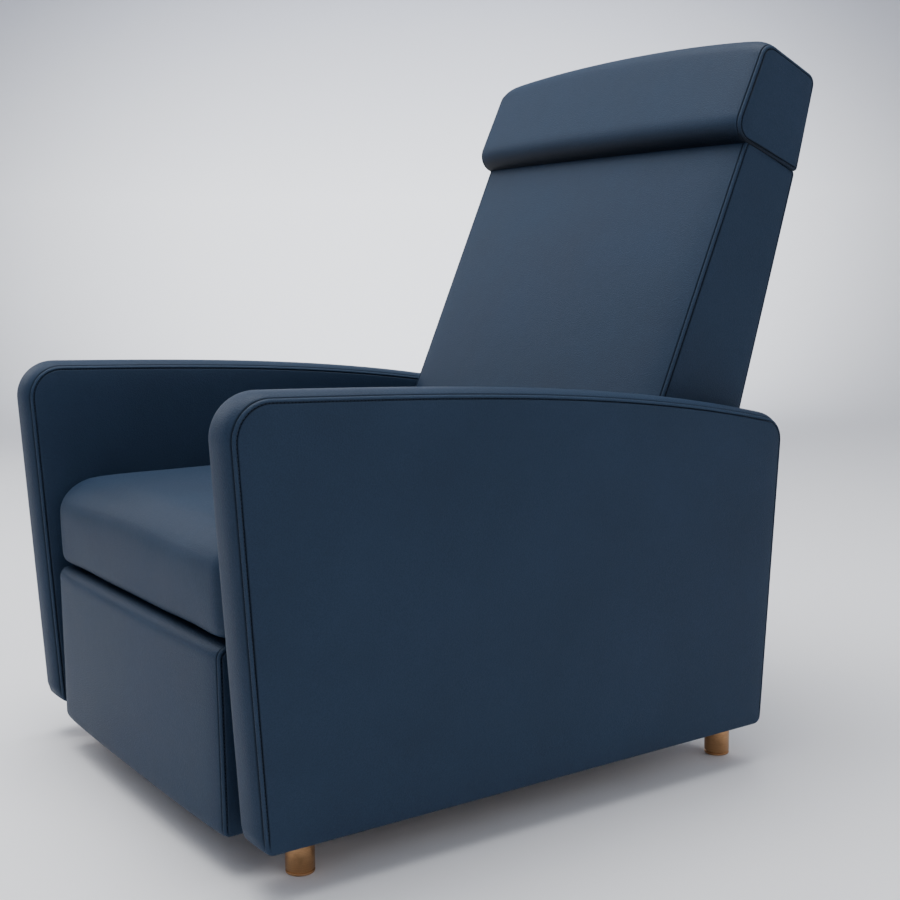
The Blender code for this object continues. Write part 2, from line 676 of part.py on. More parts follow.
def make_webbing(low_z):
    """A woven mat of elastic straps, one piece, from the front rail to the rear rail."""
    front = SEAT_FRONT_RAIL_Y - SEAT_RAIL[0] / 2 + WEBBING_EDGE
    rear = SEAT_REAR_RAIL_Y + SEAT_RAIL[0] / 2 - WEBBING_EDGE
    half = SEAT_HALF_WIDTH - WEBBING_SIDE_INSET
    mat = [(-half, front), (half, front), (half, rear), (-half, rear)]
    loops = [mat]
    across, along = WEBBING_OPENINGS
    pitch_x = (2 * half - WEBBING_STRAP) / across
    pitch_y = (rear - front - WEBBING_STRAP) / along
    for column in range(across):
        for row in range(along):
            x = -half + WEBBING_STRAP + column * pitch_x
            y = front + WEBBING_STRAP + row * pitch_y
            x_end, y_end = x + pitch_x - WEBBING_STRAP, y + pitch_y - WEBBING_STRAP
            loops.append([(x, y), (x_end, y), (x_end, y_end), (x, y_end)])
    return plate("seat_webbing", loops, low_z, low_z + WEBBING, DUST_CLOTH, "XY")


def back_front_y(z):
    return BACK_BOTTOM_FRONT_Y + (z - BACK_BOTTOM_Z) * math.tan(BACK_LEAN)


def back_rear_y(z):
    rear_bottom = BACK_BOTTOM_FRONT_Y + BACK_BOTTOM_DEPTH
    return rear_bottom + (z - BACK_BOTTOM_Z) * math.tan(BACK_REAR_LEAN)


def make_seat_cushion():
    """A thick pad with a rounded waterfall front; its rear follows the back's lean."""
    rear_bottom = back_front_y(SEAT_BOTTOM_Z) - SEAT_BACK_GAP
    rear_top = back_front_y(SEAT_TOP_Z) - SEAT_BACK_GAP
    outline = rounded([
        (SEAT_FRONT_Y, SEAT_BOTTOM_Z, 0.024), (rear_bottom, SEAT_BOTTOM_Z, 0.016),
        (rear_top, SEAT_TOP_Z, 0.024), (SEAT_FRONT_Y, SEAT_TOP_Z, SEAT_FRONT_ROUND),
    ])
    thickness = SEAT_TOP_Z - SEAT_BOTTOM_Z

    def crowned(share, y, z):
        return y, z - SEAT_CROWN * share ** 2 * (z - SEAT_BOTTOM_Z) / thickness

    return lofted("seat_cushion", outline, SEAT_HALF_WIDTH, crowned, UPHOLSTERY, SEAT_EDGE)


def make_rollers():
    inner = SIDE_RAIL_HIGH_X - CHANNEL_WALL - ROLLER_TO_WEB - ROLLER_WIDTH
    bore = AXLE_RADIUS + GAP
    profile = [
        (bore, ROLLER_WIDTH), (ROLLER_RADIUS, ROLLER_WIDTH), (ROLLER_RADIUS, 0.0), (bore, 0.0),
        (bore, ROLLER_WIDTH),
    ]
    for end, y in (("front", ROLLER_FRONT_Y), ("rear", ROLLER_REAR_Y)):
        wheels = []
        for side, sign in SIDES.items():
            low, _ = mirrored(inner, inner + ROLLER_WIDTH, sign)
            wheels.append(turned(f"roller_{end}_{side}", profile, (low, y, ROLLER_Z), "X",
                                 NYLON, 24))
        body(f"{end}_rollers", (0.0, y, ROLLER_Z), wheels)


# ---------------------------------------------------------------- back
def back_point(along, depth):
    """(y, z) from distances along the front face from the crease and behind the face."""
    crease_z = BACK_BOTTOM_Z + BACK_LENGTH * math.cos(BACK_LEAN)
    sine, cosine = math.sin(BACK_LEAN), math.cos(BACK_LEAN)
    y = back_front_y(crease_z) + along * sine + depth * cosine
    return (y, crease_z + along * cosine - depth * sine)


def layer(front_depth, rear_depth, top_along, bottom_z=BACK_BOTTOM_Z, radius=0.0):
    """A layer of the back parallel to its front face, cut level at the bottom."""
    lean = math.cos(BACK_LEAN)
    front = back_front_y(bottom_z) + front_depth / lean
    rear = back_front_y(bottom_z) + rear_depth / lean
    top_front = back_point(top_along, front_depth)
    top_rear = back_point(top_along, rear_depth)
    return rounded([(front, bottom_z, 0.0), (rear, bottom_z, 0.0), (*top_rear, 0.0),
                    (*top_front, radius)])


def rear_edge(along, inwards=0.0):
    """(y, z) where a line square to the front face meets the back's rear face."""
    y, z = back_point(along, 0.0)
    sine, cosine = math.sin(BACK_LEAN), math.cos(BACK_LEAN)
    lean = math.tan(BACK_REAR_LEAN)
    reach = back_rear_y(z) - inwards / math.cos(BACK_REAR_LEAN) - y
    depth = reach / (cosine + lean * sine)
    return back_point(along, depth)


def make_back():
    pieces = []
    top = -GAP
    half = BACK_HALF_WIDTH
    cushion = layer(0.0, BACK_FOAM, top, radius=BACK_EDGE)
    pieces.append(plate("back_cushion", [cushion], -half, half, UPHOLSTERY))
    rear_pad = BACK_REAR_PAD + GAP
    foam_back = BACK_FOAM + GAP
    bottom_front = back_front_y(BACK_BOTTOM_Z) + foam_back / math.cos(BACK_LEAN)
    bottom_rear = back_rear_y(BACK_BOTTOM_Z)
    slant = 1 / math.cos(BACK_REAR_LEAN)
    side_outline = rounded([
        (bottom_front, BACK_BOTTOM_Z, 0.0), (bottom_rear - rear_pad * slant, BACK_BOTTOM_Z, 0.0),
        (*rear_edge(top, rear_pad), 0.0), (*back_point(top, foam_back), 0.0),
    ])
    rear_outline = rounded([
        (bottom_rear - BACK_REAR_PAD * slant, BACK_BOTTOM_Z, 0.0), (bottom_rear, BACK_BOTTOM_Z, 0.0),
        (*rear_edge(top), 0.0), (*rear_edge(top, BACK_REAR_PAD), 0.0),
    ])
    pieces.append(plate("back_rear_panel", [rear_outline], -half, half, UPHOLSTERY))
    post_low, post_high_end = POST_ENDS
    post_outline = layer(foam_back, foam_back + POST_DEPTH, -post_high_end,
                         BACK_BOTTOM_Z + post_low)
    plate_outline = around((*BACK_PIVOT, HINGE_PLATE_EYE), HINGE_PLATE_TOP)
    post_high = HINGE_PLATE_X - GAP
    for side, sign in SIDES.items():
        low, high = mirrored(half - BACK_SIDE_PAD, half, sign)
        pieces.append(plate(f"back_side_panel_{side}", [side_outline], low, high, UPHOLSTERY))
        low, high = mirrored(post_high - POST_WIDTH, post_high, sign)
        pieces.append(plate(f"back_post_{side}", [post_outline], low, high, PLYWOOD))
        low, high = mirrored(HINGE_PLATE_X, HINGE_PLATE_X + PLATE, sign)
        pivot_hole = hole(BACK_PIVOT, BACK_PIVOT_RADIUS + PIVOT_CLEARANCE)
        pieces.append(plate(f"back_hinge_plate_{side}", [plate_outline, pivot_hole], low, high,
                            BLACK_STEEL))
    rail_x = post_high - POST_WIDTH - GAP
    for end, drop in BACK_RAIL_DROPS.items():
        low, high = -drop, BACK_RAIL_HEIGHT - drop
        loop = [
            back_point(low, foam_back), back_point(low, foam_back + POST_DEPTH),
            back_point(high, foam_back + POST_DEPTH), back_point(high, foam_back),
        ]
        pieces.append(plate(f"back_{end}_rail", [loop], -rail_x, rail_x, PLYWOOD))
    pieces.append(make_skirt())
    pieces.append(make_headrest())
    body("back", (0.0, *BACK_PIVOT), pieces)


def make_skirt():
    """A flap that hangs from the rear panel, narrow enough to pass between the side plates."""
    thickness, height = BACK_SKIRT
    top, low = BACK_BOTTOM_Z - GAP, BACK_BOTTOM_Z - height
    half = SEAT_PLATE_X - SKIRT_CLEARANCE
    loop = [(back_rear_y(low) - thickness, low), (back_rear_y(low), low),
            (back_rear_y(top), top), (back_rear_y(top) - thickness, top)]
    return plate("back_skirt", [loop], -half, half, UPHOLSTERY)


def make_headrest():
    """The roll over the top of the back, projecting in front of it."""
    front = -HEADREST_PROJECTION
    rounds = HEADREST_ROUNDS
    outline = rounded([
        (*back_point(HEADREST_LIFT, front), rounds["front_bottom"]),
        (*rear_edge(HEADREST_LIFT), 0.0),
        (*back_point(HEADREST_HEIGHT, front + HEADREST_TOP_DEPTH), rounds["rear_top"]),
        (*back_point(HEADREST_HEIGHT, front + HEADREST_TOP_LEAN), rounds["front_top"]),
    ])
    base_y, base_z = back_point(HEADREST_LIFT, 0.0)
    sine, cosine = math.sin(BACK_LEAN), math.cos(BACK_LEAN)

    def arched(share, y, z):
        height = (y - base_y) * sine + (z - base_z) * cosine
        rise = HEADREST_ARCH * (1 - share ** 2) * max(height, 0.0) / HEADREST_HEIGHT
        return y + rise * sine, z + rise * cosine

    return lofted("headrest_bolster", outline, HEADREST_HALF_WIDTH, arched, UPHOLSTERY,
                  HEADREST_EDGE)


# ---------------------------------------------------------------- legrest
def make_legrest():
    rear_pieces, front_pieces, control_pieces, guide_pieces, ottoman_pieces = [], [], [], [], []
    wide = LINK_HALF_WIDTH
    rear_outline = around((*LINK_PIVOT, wide + LINK_EYE), (*KNEE, wide), (*CONTROL_KNEE, wide),
                          (*CROSS_TUBE, CROSS_TUBE_RADIUS + TUBE_EYE))
    front_outline = stroke([OTTOMAN_PIVOT, KNEE, TAIL], wide)
    control_outline = around((*CONTROL_KNEE, wide), (*OTTOMAN_CONTROL, wide))
    guide_outline = around((*GUIDE_PIVOT, wide), (*TAIL, wide - LINK_EYE))
    board_back = OTTOMAN_BACK_Y + GAP
    bracket_outline = hull(
        circle(*OTTOMAN_PIVOT, wide, 20) + circle(*OTTOMAN_CONTROL, wide, 20)
        + [(board_back, OTTOMAN_PIVOT[1] - BRACKET_DROP),
           (board_back, OTTOMAN_CONTROL[1] - BRACKET_RISE)]
    )
    for side, sign in SIDES.items():
        def link(name, loops, low_x):
            low, high = mirrored(low_x, low_x + PLATE, sign)
            return plate(f"{name}_{side}", loops, low, high, BLACK_STEEL)

        def stud(foot_x, head_x, place, head=None):
            return pin("stud", sign * foot_x, sign * head_x, place, PIVOT_RADIUS, STEEL, head)

        rear_middle = REAR_LINK_X + PLATE / 2
        rear_link = link("legrest_rear_link", [rear_outline, hole(LINK_PIVOT)], REAR_LINK_X)
        rear_pieces.append(joined(
            rear_link,
            stud(rear_middle, FRONT_LINK_X - GAP, KNEE, PIVOT_HEAD),
            stud(rear_middle, CONTROL_LINK_X - GAP, CONTROL_KNEE, PIVOT_HEAD)))
        front_holes = [hole(OTTOMAN_PIVOT), hole(KNEE), hole(TAIL)]
        front_pieces.append(link("legrest_front_link", [front_outline, *front_holes],
                                 FRONT_LINK_X))
        control_holes = [hole(CONTROL_KNEE), hole(OTTOMAN_CONTROL)]
        control_pieces.append(link("legrest_control_link", [control_outline, *control_holes],
                                   CONTROL_LINK_X))
        guide_holes = [hole(GUIDE_PIVOT), hole(TAIL)]
        guide_pieces.append(link("legrest_guide_link", [guide_outline, *guide_holes],
                                 GUIDE_LINK_X))
        bracket_middle = BRACKET_X + PLATE / 2
        ottoman_pieces.append(joined(
            link("ottoman_bracket", [bracket_outline], BRACKET_X),
            stud(bracket_middle, FRONT_LINK_X + PLATE, OTTOMAN_PIVOT),
            stud(bracket_middle, CONTROL_LINK_X - GAP, OTTOMAN_CONTROL, PIVOT_HEAD)))
    tube_half = REAR_LINK_X - GAP
    tube_profile = pin_profile(CROSS_TUBE_RADIUS, 2 * tube_half)
    rear_pieces.append(turned("legrest_cross_tube", tube_profile, (-tube_half, *CROSS_TUBE), "X",
                              BLACK_STEEL))
    inset_edge = OTTOMAN_BOARD_INSET
    ottoman_pieces.append(box(
        "ottoman_board",
        (-OTTOMAN_HALF_WIDTH + inset_edge, OTTOMAN_BACK_Y - OTTOMAN_BOARD,
         OTTOMAN_BOTTOM_Z + inset_edge),
        (OTTOMAN_HALF_WIDTH - inset_edge, OTTOMAN_BACK_Y, OTTOMAN_TOP_Z - inset_edge), PLYWOOD))
    ottoman_pieces.append(box(
        "ottoman_pad", (-OTTOMAN_HALF_WIDTH, OTTOMAN_FRONT_Y, OTTOMAN_BOTTOM_Z),
        (OTTOMAN_HALF_WIDTH, OTTOMAN_FRONT_Y + OTTOMAN_PAD, OTTOMAN_TOP_Z), UPHOLSTERY,
        OTTOMAN_EDGE, 3))
    body("legrest_rear", (0.0, *LINK_PIVOT), rear_pieces)
    body("legrest_front", (0.0, *KNEE), front_pieces)
    body("legrest_control", (0.0, *CONTROL_KNEE), control_pieces)
    body("legrest_guide", (0.0, *GUIDE_PIVOT), guide_pieces)
    body("ottoman", (0.0, *OTTOMAN_PIVOT), ottoman_pieces)


make_arms()
make_base()
make_channels()
make_carriage()
make_rollers()
make_back()
make_legrest()
bpy.context.view_layer.update()
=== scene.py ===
"""Looks of the patient recliner chair: leather covers with sewn seams, bronze feet,
painted mechanism, plywood frame, studio floor, lights and camera.

Metres, +Z up, the chair faces -Y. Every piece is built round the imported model.
"""

import math

import bmesh
import bpy
import numpy as np
from mathutils import Matrix, Vector


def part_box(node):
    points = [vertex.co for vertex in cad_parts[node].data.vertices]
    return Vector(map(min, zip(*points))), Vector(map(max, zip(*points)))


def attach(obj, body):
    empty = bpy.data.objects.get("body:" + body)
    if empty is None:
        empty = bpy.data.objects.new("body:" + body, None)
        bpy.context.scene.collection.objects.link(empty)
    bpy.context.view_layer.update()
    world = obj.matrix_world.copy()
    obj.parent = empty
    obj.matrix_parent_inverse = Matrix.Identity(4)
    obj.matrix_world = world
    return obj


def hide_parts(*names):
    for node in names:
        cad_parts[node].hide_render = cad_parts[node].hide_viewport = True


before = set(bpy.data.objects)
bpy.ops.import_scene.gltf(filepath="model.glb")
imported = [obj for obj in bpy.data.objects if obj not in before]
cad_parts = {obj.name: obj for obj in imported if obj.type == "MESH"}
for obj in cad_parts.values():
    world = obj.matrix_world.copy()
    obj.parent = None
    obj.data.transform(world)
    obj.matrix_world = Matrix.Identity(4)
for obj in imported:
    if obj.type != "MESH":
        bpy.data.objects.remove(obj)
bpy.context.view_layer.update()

SIDES = {"left": 1, "right": -1}


# ---------------------------------------------------------------- materials
def new_material(name):
    material = bpy.data.materials.new(name)
    material.use_nodes = True
    tree = material.node_tree
    return material, tree, tree.nodes["Principled BSDF"]


def link(tree, source, target):
    tree.links.new(source, target)


def feed(tree, node, **values):
    """Sets a node's inputs, or links sockets to them; their names have _ for each space."""
    for name, value in values.items():
        socket = node.inputs[name.replace("_", " ")]
        if isinstance(value, bpy.types.NodeSocket):
            link(tree, value, socket)
        elif socket.type == "RGBA":
            socket.default_value = (*value, 1.0)
        else:
            socket.default_value = value
    return node


def new_node(tree, kind, **values):
    return feed(tree, tree.nodes.new("ShaderNode" + kind), **values)


def object_point(tree, stretch=(1.0, 1.0, 1.0), turn=(0.0, 0.0, 0.0)):
    """Texture space in metres, stretched along its axes."""
    place = new_node(tree, "TexCoord").outputs["Object"]
    return new_node(tree, "Mapping", Vector=place, Scale=stretch, Rotation=turn).outputs[0]


def noise(tree, point, scale, detail=2.0, roughness=0.5, distortion=0.0):
    return new_node(tree, "TexNoise", Vector=point, Scale=scale, Detail=detail,
                    Roughness=roughness, Distortion=distortion).outputs["Fac"]


def cells(tree, point, scale, feature="F1", randomness=1.0):
    node = new_node(tree, "TexVoronoi", Vector=point, Scale=scale, Randomness=randomness)
    node.feature = feature
    return node.outputs["Distance"]


def remap(tree, value, low, high, to_low=0.0, to_high=1.0):
    return new_node(tree, "MapRange", Value=value, From_Min=low, From_Max=high, To_Min=to_low,
                    To_Max=to_high).outputs["Result"]


def mix_colour(tree, factor, first, second):
    node = tree.nodes.new("ShaderNodeMix")
    node.data_type = "RGBA"
    link(tree, factor, node.inputs[0])
    for socket, value in ((node.inputs[6], first), (node.inputs[7], second)):
        if isinstance(value, tuple):
            socket.default_value = (*value, 1.0)
        else:
            link(tree, value, socket)
    return node.outputs[2]


def maths(tree, operation, first, second):
    node = tree.nodes.new("ShaderNodeMath")
    node.operation = operation
    link(tree, first, node.inputs[0])
    if isinstance(second, float):
        node.inputs[1].default_value = second
    else:
        link(tree, second, node.inputs[1])
    return node.outputs[0]


def attribute(tree, name):
    node = tree.nodes.new("ShaderNodeAttribute")
    node.attribute_name = name
    return node.outputs["Fac"]


def bump(tree, height, strength, distance, below=None):
    node = new_node(tree, "Bump", Height=height, Strength=strength, Distance=distance)
    if below is not None:
        link(tree, below, node.inputs["Normal"])
    return node.outputs["Normal"]


def finish(tree, shader, colour, roughness, normal):
    feed(tree, shader, Base_Color=colour, Roughness=roughness, Normal=normal)


LEATHER_DARK = (0.0138, 0.0280, 0.0545)
LEATHER_LIGHT = (0.0172, 0.0345, 0.0660)
# painted highlight: the lighter blue put on the seam ridges
LEATHER_RIDGE_HIGHLIGHT = (0.0215, 0.0410, 0.0740)
# dirt and painted shade: the dark blue put in the stitching grooves; painted shade under the
# headrest roll
LEATHER_DIRT_AND_SHADE = (0.0012, 0.0022, 0.0050)
LEATHER_VALLEY = (0.005, 0.010, 0.022)
BRONZE_DARK = (0.420, 0.228, 0.106)
BRONZE_LIGHT = (0.630, 0.368, 0.178)
BRONZE_AGED = (0.210, 0.115, 0.054)


def leather():
    """Satin upholstery leather: fine pebble grain, faint mottling, seam ridges lightened as a
    painted highlight, stitching grooves darkened with dirt and painted shade, painted shade under
    the headrest roll.
    """
    material, tree, shader = new_material("navy_leather")
    point = object_point(tree)
    mottle = noise(tree, point, 5.0, 5.0, 0.6)
    grain = cells(tree, point, 640.0, "SMOOTH_F1")
    pores = noise(tree, point, 1500.0, 2.0, 0.6)
    creases = cells(tree, point, 330.0, "DISTANCE_TO_EDGE")
    body_colour = mix_colour(tree, remap(tree, mottle, 0.30, 0.70),
                             LEATHER_DARK, LEATHER_LIGHT)
    # painted highlight: the seam ridges are lightened where their rounded edges catch the light
    ridge_highlighted = mix_colour(tree, maths(tree, "MULTIPLY", attribute(tree, "ridge"), 0.6),
                           body_colour, LEATHER_RIDGE_HIGHLIGHT)
    # dirt and painted shade in the stitching grooves, painted shade under the headrest roll
    groove_dirt_and_shade = mix_colour(tree, attribute(tree, "crevice"), ridge_highlighted, LEATHER_DIRT_AND_SHADE)
    valleys = remap(tree, grain, 0.0, 0.55, 1.0, 0.0)
    shaded = mix_colour(tree, maths(tree, "MULTIPLY", valleys, 0.30), groove_dirt_and_shade, LEATHER_VALLEY)
    roughness = maths(tree, "ADD", remap(tree, mottle, 0.25, 0.75, 0.53, 0.60),
                      remap(tree, grain, 0.0, 0.8, 0.05, -0.02))
    feed(tree, shader, Specular_IOR_Level=0.13, Coat_Weight=0.03, Coat_Roughness=0.38)
    soft = bump(tree, noise(tree, point, 26.0, 3.0, 0.55), 0.10, 0.004)
    fine = bump(tree, pores, 0.12, 0.0004, soft)
    lines = bump(tree, remap(tree, creases, 0.0, 0.12), 0.16, 0.0003, fine)
    finish(tree, shader, shaded, roughness, bump(tree, grain, 0.50, 0.0008, lines))
    return material


def thread():
    material, tree, shader = new_material("navy_thread")
    strands = noise(tree, object_point(tree), 1800.0)
    finish(tree, shader, mix_colour(tree, strands, (0.010, 0.020, 0.042), (0.034, 0.056, 0.098)),
           remap(tree, strands, 0.0, 1.0, 0.50, 0.72), bump(tree, strands, 0.5, 0.0003))
    return material


def bronze():
    """Brushed bronze: fine lines round the foot, darker patina in patches."""
    material, tree, shader = new_material("brushed_bronze")
    lines = noise(tree, object_point(tree, (3.0, 3.0, 900.0)), 3.0, 4.0, 0.7)
    patina = noise(tree, object_point(tree), 45.0, 4.0, 0.6)
    metal = mix_colour(tree, remap(tree, lines, 0.3, 0.7), BRONZE_DARK, BRONZE_LIGHT)
    aged = mix_colour(tree, remap(tree, patina, 0.52, 0.75, 0.0, 0.55), metal, BRONZE_AGED)
    feed(tree, shader, Metallic=1.0, Anisotropic=0.5)
    finish(tree, shader, aged, remap(tree, lines, 0.2, 0.8, 0.26, 0.44),
           bump(tree, lines, 0.25, 0.0003))
    return material


def zinc():
    """Zinc-plated steel with a faint crystal pattern and wiped streaks."""
    material, tree, shader = new_material("zinc_plated_steel")
    crystals = cells(tree, object_point(tree), 240.0)
    streaks = noise(tree, object_point(tree, (400.0, 12.0, 12.0)), 2.0, 3.0, 0.6)
    feed(tree, shader, Metallic=1.0)
    finish(tree, shader,
           mix_colour(tree, crystals, (0.360, 0.370, 0.385), (0.640, 0.645, 0.650)),
           remap(tree, streaks, 0.2, 0.8, 0.24, 0.48), bump(tree, streaks, 0.15, 0.0002))
    return material


def painted_steel():
    """Black powder coat with a fine orange peel and dust in its hollows."""
    material, tree, shader = new_material("black_powder_coat")
    point = object_point(tree)
    peel = noise(tree, point, 700.0)
    dust = noise(tree, point, 22.0, 5.0, 0.65)
    colour = mix_colour(tree, remap(tree, dust, 0.45, 0.80, 0.0, 0.6),
                        (0.014, 0.014, 0.016), (0.060, 0.058, 0.055))
    finish(tree, shader, colour, remap(tree, dust, 0.3, 0.7, 0.34, 0.56),
           bump(tree, peel, 0.35, 0.0003))
    return material


def plywood():
    """Birch plywood: long wavy grain on the faces, darker pores."""
    material, tree, shader = new_material("birch_plywood")
    rings = noise(tree, object_point(tree, (14.0, 1.6, 14.0)), 9.0, 6.0, 0.62, 1.2)
    pores = noise(tree, object_point(tree, (300.0, 24.0, 300.0)), 3.0)
    wood = mix_colour(tree, remap(tree, rings, 0.25, 0.75),
                      (0.420, 0.262, 0.135), (0.640, 0.452, 0.272))
    dotted = mix_colour(tree, remap(tree, pores, 0.62, 0.80, 0.0, 0.6), wood,
                        (0.205, 0.120, 0.062))
    finish(tree, shader, dotted, remap(tree, rings, 0.2, 0.8, 0.50, 0.68),
           bump(tree, pores, 0.25, 0.0005))
    return material


def nylon():
    material, tree, shader = new_material("white_nylon")
    point = object_point(tree)
    grey = noise(tree, point, 60.0, 4.0, 0.6)
    colour = mix_colour(tree, remap(tree, grey, 0.4, 0.8),
                        (0.640, 0.630, 0.585), (0.420, 0.405, 0.370))
    feed(tree, shader, Subsurface_Weight=0.10, Subsurface_Radius=(0.002, 0.002, 0.0018))
    finish(tree, shader, colour, remap(tree, grey, 0.3, 0.7, 0.36, 0.52),
           bump(tree, noise(tree, point, 900.0), 0.1, 0.0002))
    return material


def black_rubber():
    material, tree, shader = new_material("black_glide")
    scuffs = noise(tree, object_point(tree), 300.0, 4.0, 0.6)
    finish(tree, shader, mix_colour(tree, scuffs, (0.012, 0.012, 0.013), (0.040, 0.039, 0.038)),
           remap(tree, scuffs, 0.2, 0.8, 0.55, 0.75), bump(tree, scuffs, 0.2, 0.0003))
    return material


def dust_cloth():
    """Spun-bonded black cloth with matted fibres and a grid of bonded points."""
    material, tree, shader = new_material("black_nonwoven")
    turned_point = object_point(tree, turn=(0.0, 0.0, 0.5))
    fibres = noise(tree, turned_point, 1100.0, 4.0, 0.7, 2.0)
    points = cells(tree, object_point(tree), 520.0, "F1", 0.0)
    feed(tree, shader, Specular_IOR_Level=0.25)
    woven = bump(tree, fibres, 0.5, 0.0004)
    finish(tree, shader, mix_colour(tree, fibres, (0.008, 0.008, 0.009), (0.034, 0.034, 0.036)),
           remap(tree, fibres, 0.2, 0.8, 0.80, 0.96), bump(tree, points, 0.5, 0.0004, woven))
    return material


def webbing_weave():
    """Elastic webbing: ribs along the strap, a fleck of lighter thread."""
    material, tree, shader = new_material("elastic_webbing")
    ribs = noise(tree, object_point(tree, (900.0, 900.0, 10.0)), 1.0)
    fleck = cells(tree, object_point(tree), 420.0)
    finish(tree, shader, mix_colour(tree, fleck, (0.030, 0.030, 0.032), (0.110, 0.106, 0.100)),
           remap(tree, ribs, 0.2, 0.8, 0.72, 0.92),
           bump(tree, fleck, 0.6, 0.0005, bump(tree, ribs, 0.5, 0.0005)))
    return material


LEATHER = leather()
THREAD = thread()
BRONZE = bronze()
ZINC = zinc()
COAT = painted_steel()
PLYWOOD = plywood()
NYLON = nylon()
GLIDE = black_rubber()
DUST_CLOTH = dust_cloth()
WEBBING = webbing_weave()


# ---------------------------------------------------------------- mesh building
def mesh_piece(name, points, faces, material, ridge=None, crevice=None):
    mesh = bpy.data.meshes.new(name)
    mesh.from_pydata(np.asarray(points, float).tolist(), [], faces)
    mesh.validate()
    mesh.update()
    mesh.shade_smooth()
    for label, values in (("ridge", ridge), ("crevice", crevice)):
        if values is not None:
            mark = mesh.attributes.new(label, "FLOAT", "POINT")
            mark.data.foreach_set("value", np.asarray(values, np.float32))
    obj = bpy.data.objects.new(name, mesh)
    bpy.context.scene.collection.objects.link(obj)
    mesh.materials.append(material)
    return obj


def belongs(obj, slot, body, *nodes, fill=None):
    """Attaches the piece to the body it moves with and hides the CAD nodes that it stands for;
    slot, the piece's finish, is not used.
    """
    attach(obj, body)
    if nodes:
        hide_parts(*nodes)
    return obj


def grid_faces(rows, columns, wrap_rows=False, wrap_columns=False, flip=False, start=0):
    """Quads of a rows x columns net; their normals are row step x column step."""
    i = np.arange(rows if wrap_rows else rows - 1)
    j = np.arange(columns if wrap_columns else columns - 1)
    a, b = np.meshgrid(i, j, indexing="ij")
    a, b = a.ravel(), b.ravel()
    a2, b2 = (a + 1) % rows, (b + 1) % columns
    quads = np.stack([a * columns + b, a2 * columns + b, a2 * columns + b2, a * columns + b2], 1)
    if flip:
        quads = quads[:, ::-1]
    return (quads + start).tolist()


def revolved(profile, sides):
    """Rings of points about the Z axis, one for each (radius, height)."""
    turns = [2 * math.pi * k / sides for k in range(sides)]
    return np.array([(r * math.cos(t), r * math.sin(t), z) for r, z in profile for t in turns])


def fan(first, count, tip, flip=False):
    """Triangles from a ring of points to its tip."""
    faces = [[first + k, first + (k + 1) % count, tip] for k in range(count)]
    return [face[::-1] for face in faces] if flip else faces


def arc_corners(corners, steps=28):
    """A closed line from (a, b, radius) corners, anticlockwise."""
    line = []
    for index, (a, b, radius) in enumerate(corners):
        here = Vector((a, b))
        before = Vector(corners[index - 1][:2])
        after = Vector(corners[(index + 1) % len(corners)][:2])
        if radius <= 0:
            line.append(here)
            continue
        to_before = (before - here).normalized()
        to_after = (after - here).normalized()
        half = to_before.angle(to_after) / 2
        reach = radius / math.tan(half)
        middle = here + (to_before + to_after).normalized() * radius / math.sin(half)
        start = here + to_before * reach - middle
        turn = start.angle_signed(here + to_after * reach - middle)
        for step in range(steps + 1):
            line.append(middle + Matrix.Rotation(-turn * step / steps, 2) @ start)
    return np.array([tuple(p) for p in line])


def even(line, spacing):
    """The closed line at an even spacing, with its outward normals."""
    closed = np.vstack([line, line[:1]])
    lengths = np.concatenate([[0], np.cumsum(np.linalg.norm(np.diff(closed, axis=0), axis=1))])
    count = max(12, int(round(lengths[-1] / spacing)))
    at = np.linspace(0, lengths[-1], count, endpoint=False)
    points = np.stack([np.interp(at, lengths, closed[:, k]) for k in (0, 1)], 1)
    return points, outward(points)


def outward(points):
    tangent = np.roll(points, -2, 0) - np.roll(points, 2, 0)
    tangent /= np.linalg.norm(tangent, axis=1)[:, None]
    return np.stack([tangent[:, 1], -tangent[:, 0]], 1)


def smooth_loop(values, times):
    for _ in range(times):
        values = (np.roll(values, 1, 0) + 2 * values + np.roll(values, -1, 0)) / 4
    return values


RIDGE = 0.0050           # from the edge of a cover to each of its two rows of stitching
GROOVE_DEPTH = 0.0019
GROOVE_WIDTH = 0.0008
TUCK = 0.0035            # hidden margin of each panel below the other
NEAR_GROOVE = np.array([0.0, 0.35, 0.7, 1.05, 1.5, 2.1, 2.9, 4.0, 5.5, 7.5, 10.0]) / 1000


def groove(distance):
    return -GROOVE_DEPTH * np.exp(-(distance / GROOVE_WIDTH) ** 2)


def crevice(distance):
    """How dark the cover is at a distance from a row of stitching: dirt and painted shade in the
    groove.
    """
    return 0.92 * np.exp(-(distance / (GROOVE_WIDTH * 1.25)) ** 2)


def swell(distance, rise, reach):
    """How far a padded face has risen at a distance from its seam."""
    return rise * (1 - np.exp(-np.maximum(distance, 0.0) / reach))


